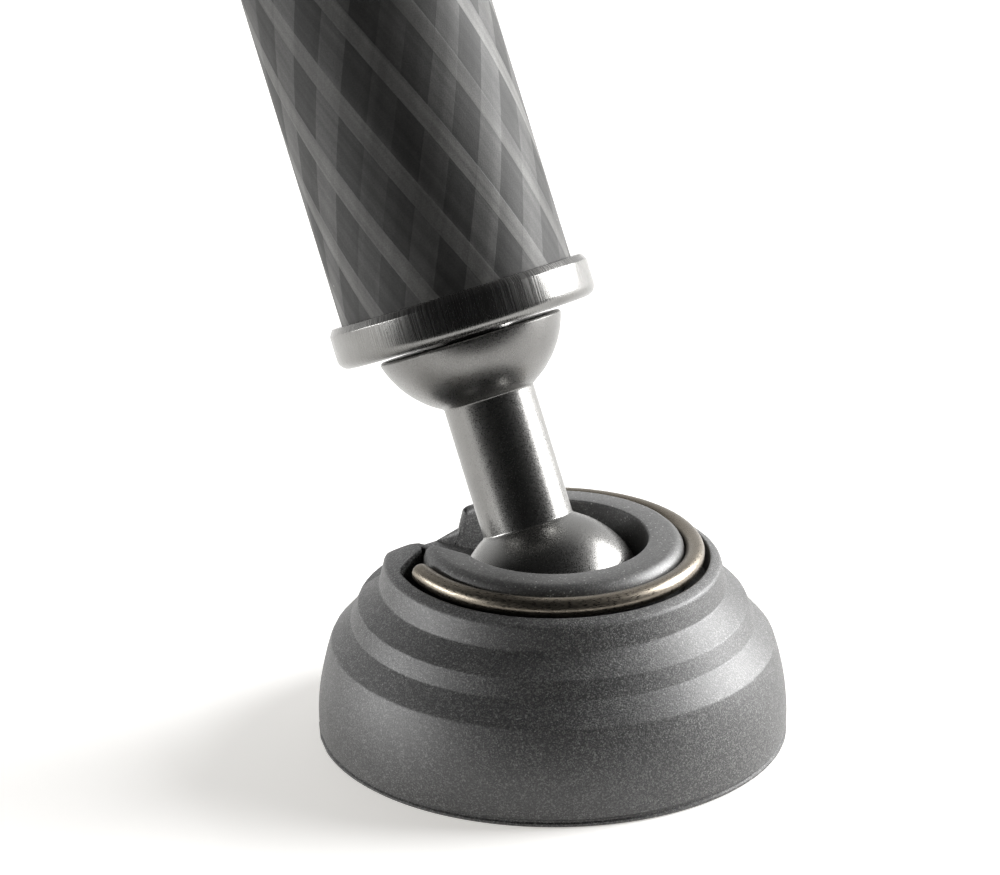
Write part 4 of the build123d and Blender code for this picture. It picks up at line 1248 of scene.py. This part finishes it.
def stage_floor():
    """A pale floor that ends just in front of the foot, so that metal mirrors the dark there."""
    mesh = bmesh.new()
    left, right = -FLOOR_REACH, FLOOR_REACH
    outline = ((left, FLOOR_FRONT), (right, FLOOR_FRONT), (right, FLOOR_REACH), (left, FLOOR_REACH))
    mesh.faces.new([mesh.verts.new((x, y, 0)) for x, y in outline])
    floor_object = finished("floor", mesh)
    material = bpy.data.materials.new("pale_floor")
    material.use_nodes = True
    tree = material.node_tree
    tree.nodes.clear()
    rays = add_node(tree, "LightPath")
    seen = rays.outputs["Is Camera Ray"]
    for kind in ("Is Glossy Ray", "Is Transmission Ray"):
        seen = add_node(tree, "Math", {0: seen, 1: rays.outputs[kind]}, operation="MAXIMUM").outputs[0]
    strength = add_node(tree, "Math", {0: seen, 1: FLOOR_LIFT}, operation="MULTIPLY").outputs[0]
    lift = add_node(tree, "Emission", {"Color": (1.0, 0.975, 0.93, 1), "Strength": strength})
    plain = add_node(tree, "BsdfDiffuse", {"Color": (0.8, 0.8, 0.8, 1)})
    both = add_node(tree, "AddShader", {0: plain.outputs[0], 1: lift.outputs[0]})
    add_node(tree, "OutputMaterial", {"Surface": both.outputs[0]})
    floor_object.data.materials.append(material)


def studio_world():
    """White behind, dark on the photographer's side, and white to the camera."""
    world = bpy.data.worlds.new("studio")
    bpy.context.scene.world = world
    world.use_nodes = True
    tree = world.node_tree
    place = add_node(tree, "TexCoord").outputs["Generated"]
    depth = add_node(tree, "SeparateXYZ", {0: place}).outputs["Y"]
    inputs = {"Value": depth, "From Max": BACK_LIGHT_FROM, "To Min": FRONT_LIGHT, "To Max": BACK_LIGHT}
    light = add_node(tree, "MapRange", inputs, interpolation_type="SMOOTHSTEP").outputs["Result"]
    seen = add_node(tree, "LightPath").outputs["Is Camera Ray"]
    white = add_node(tree, "Mix", {0: seen, 2: light, 3: 1.0}, data_type="FLOAT")
    background = tree.nodes["Background"]
    feed(tree, background.inputs["Color"], (1, 1, 1, 1))
    feed(tree, background.inputs["Strength"], white.outputs[0])


def soft_light(name, azimuth, elevation, width, height, radiance):
    """A rectangular soft light that faces the foot, with its radiance set directly."""
    light = bpy.data.lights.new(name, "AREA")
    light.shape = "RECTANGLE"
    light.size, light.size_y = width, height
    light.energy = radiance * pi * width * height
    lamp = placed(name, light)
    t, e = radians(azimuth), radians(elevation)
    lamp.location = Vector(polar(t, cos(e), sin(e))) * LAMP_DISTANCE
    lamp.rotation_euler = (-lamp.location).to_track_quat("-Z", "Y").to_euler()


def camera():
    """The photograph's camera: a long lens, a little above the foot."""
    data = bpy.data.cameras.new("camera")
    data.sensor_width = SENSOR_WIDTH
    data.lens = FOCAL_PIXELS * SENSOR_WIDTH / PICTURE_WIDTH
    data.clip_start, data.clip_end = 0.02, 60.0
    elevation, roll = radians(21.43), radians(-0.20)
    right = Vector((1, 0, 0))
    up = Vector((0, sin(elevation), cos(elevation)))
    back = Vector((0, -cos(elevation), sin(elevation)))
    axes = Matrix((right, up, back)).transposed().to_4x4()
    place = Matrix.Translation(Vector(CAMERA_PLACE) * MM)
    seen = placed("camera", data)
    seen.matrix_world = place @ axes @ Matrix.Rotation(roll, 4, "Z")
    bpy.context.scene.camera = seen


stage_floor()
studio_world()
soft_light("right", azimuth=20, elevation=24, width=0.9, height=0.8, radiance=18.0)
soft_light("left", azimuth=180, elevation=6, width=0.85, height=0.3, radiance=13.0)
soft_light("strip", azimuth=205, elevation=8, width=0.2, height=0.5, radiance=7.0)
camera()
bpy.context.scene.view_settings.view_transform = "Standard"
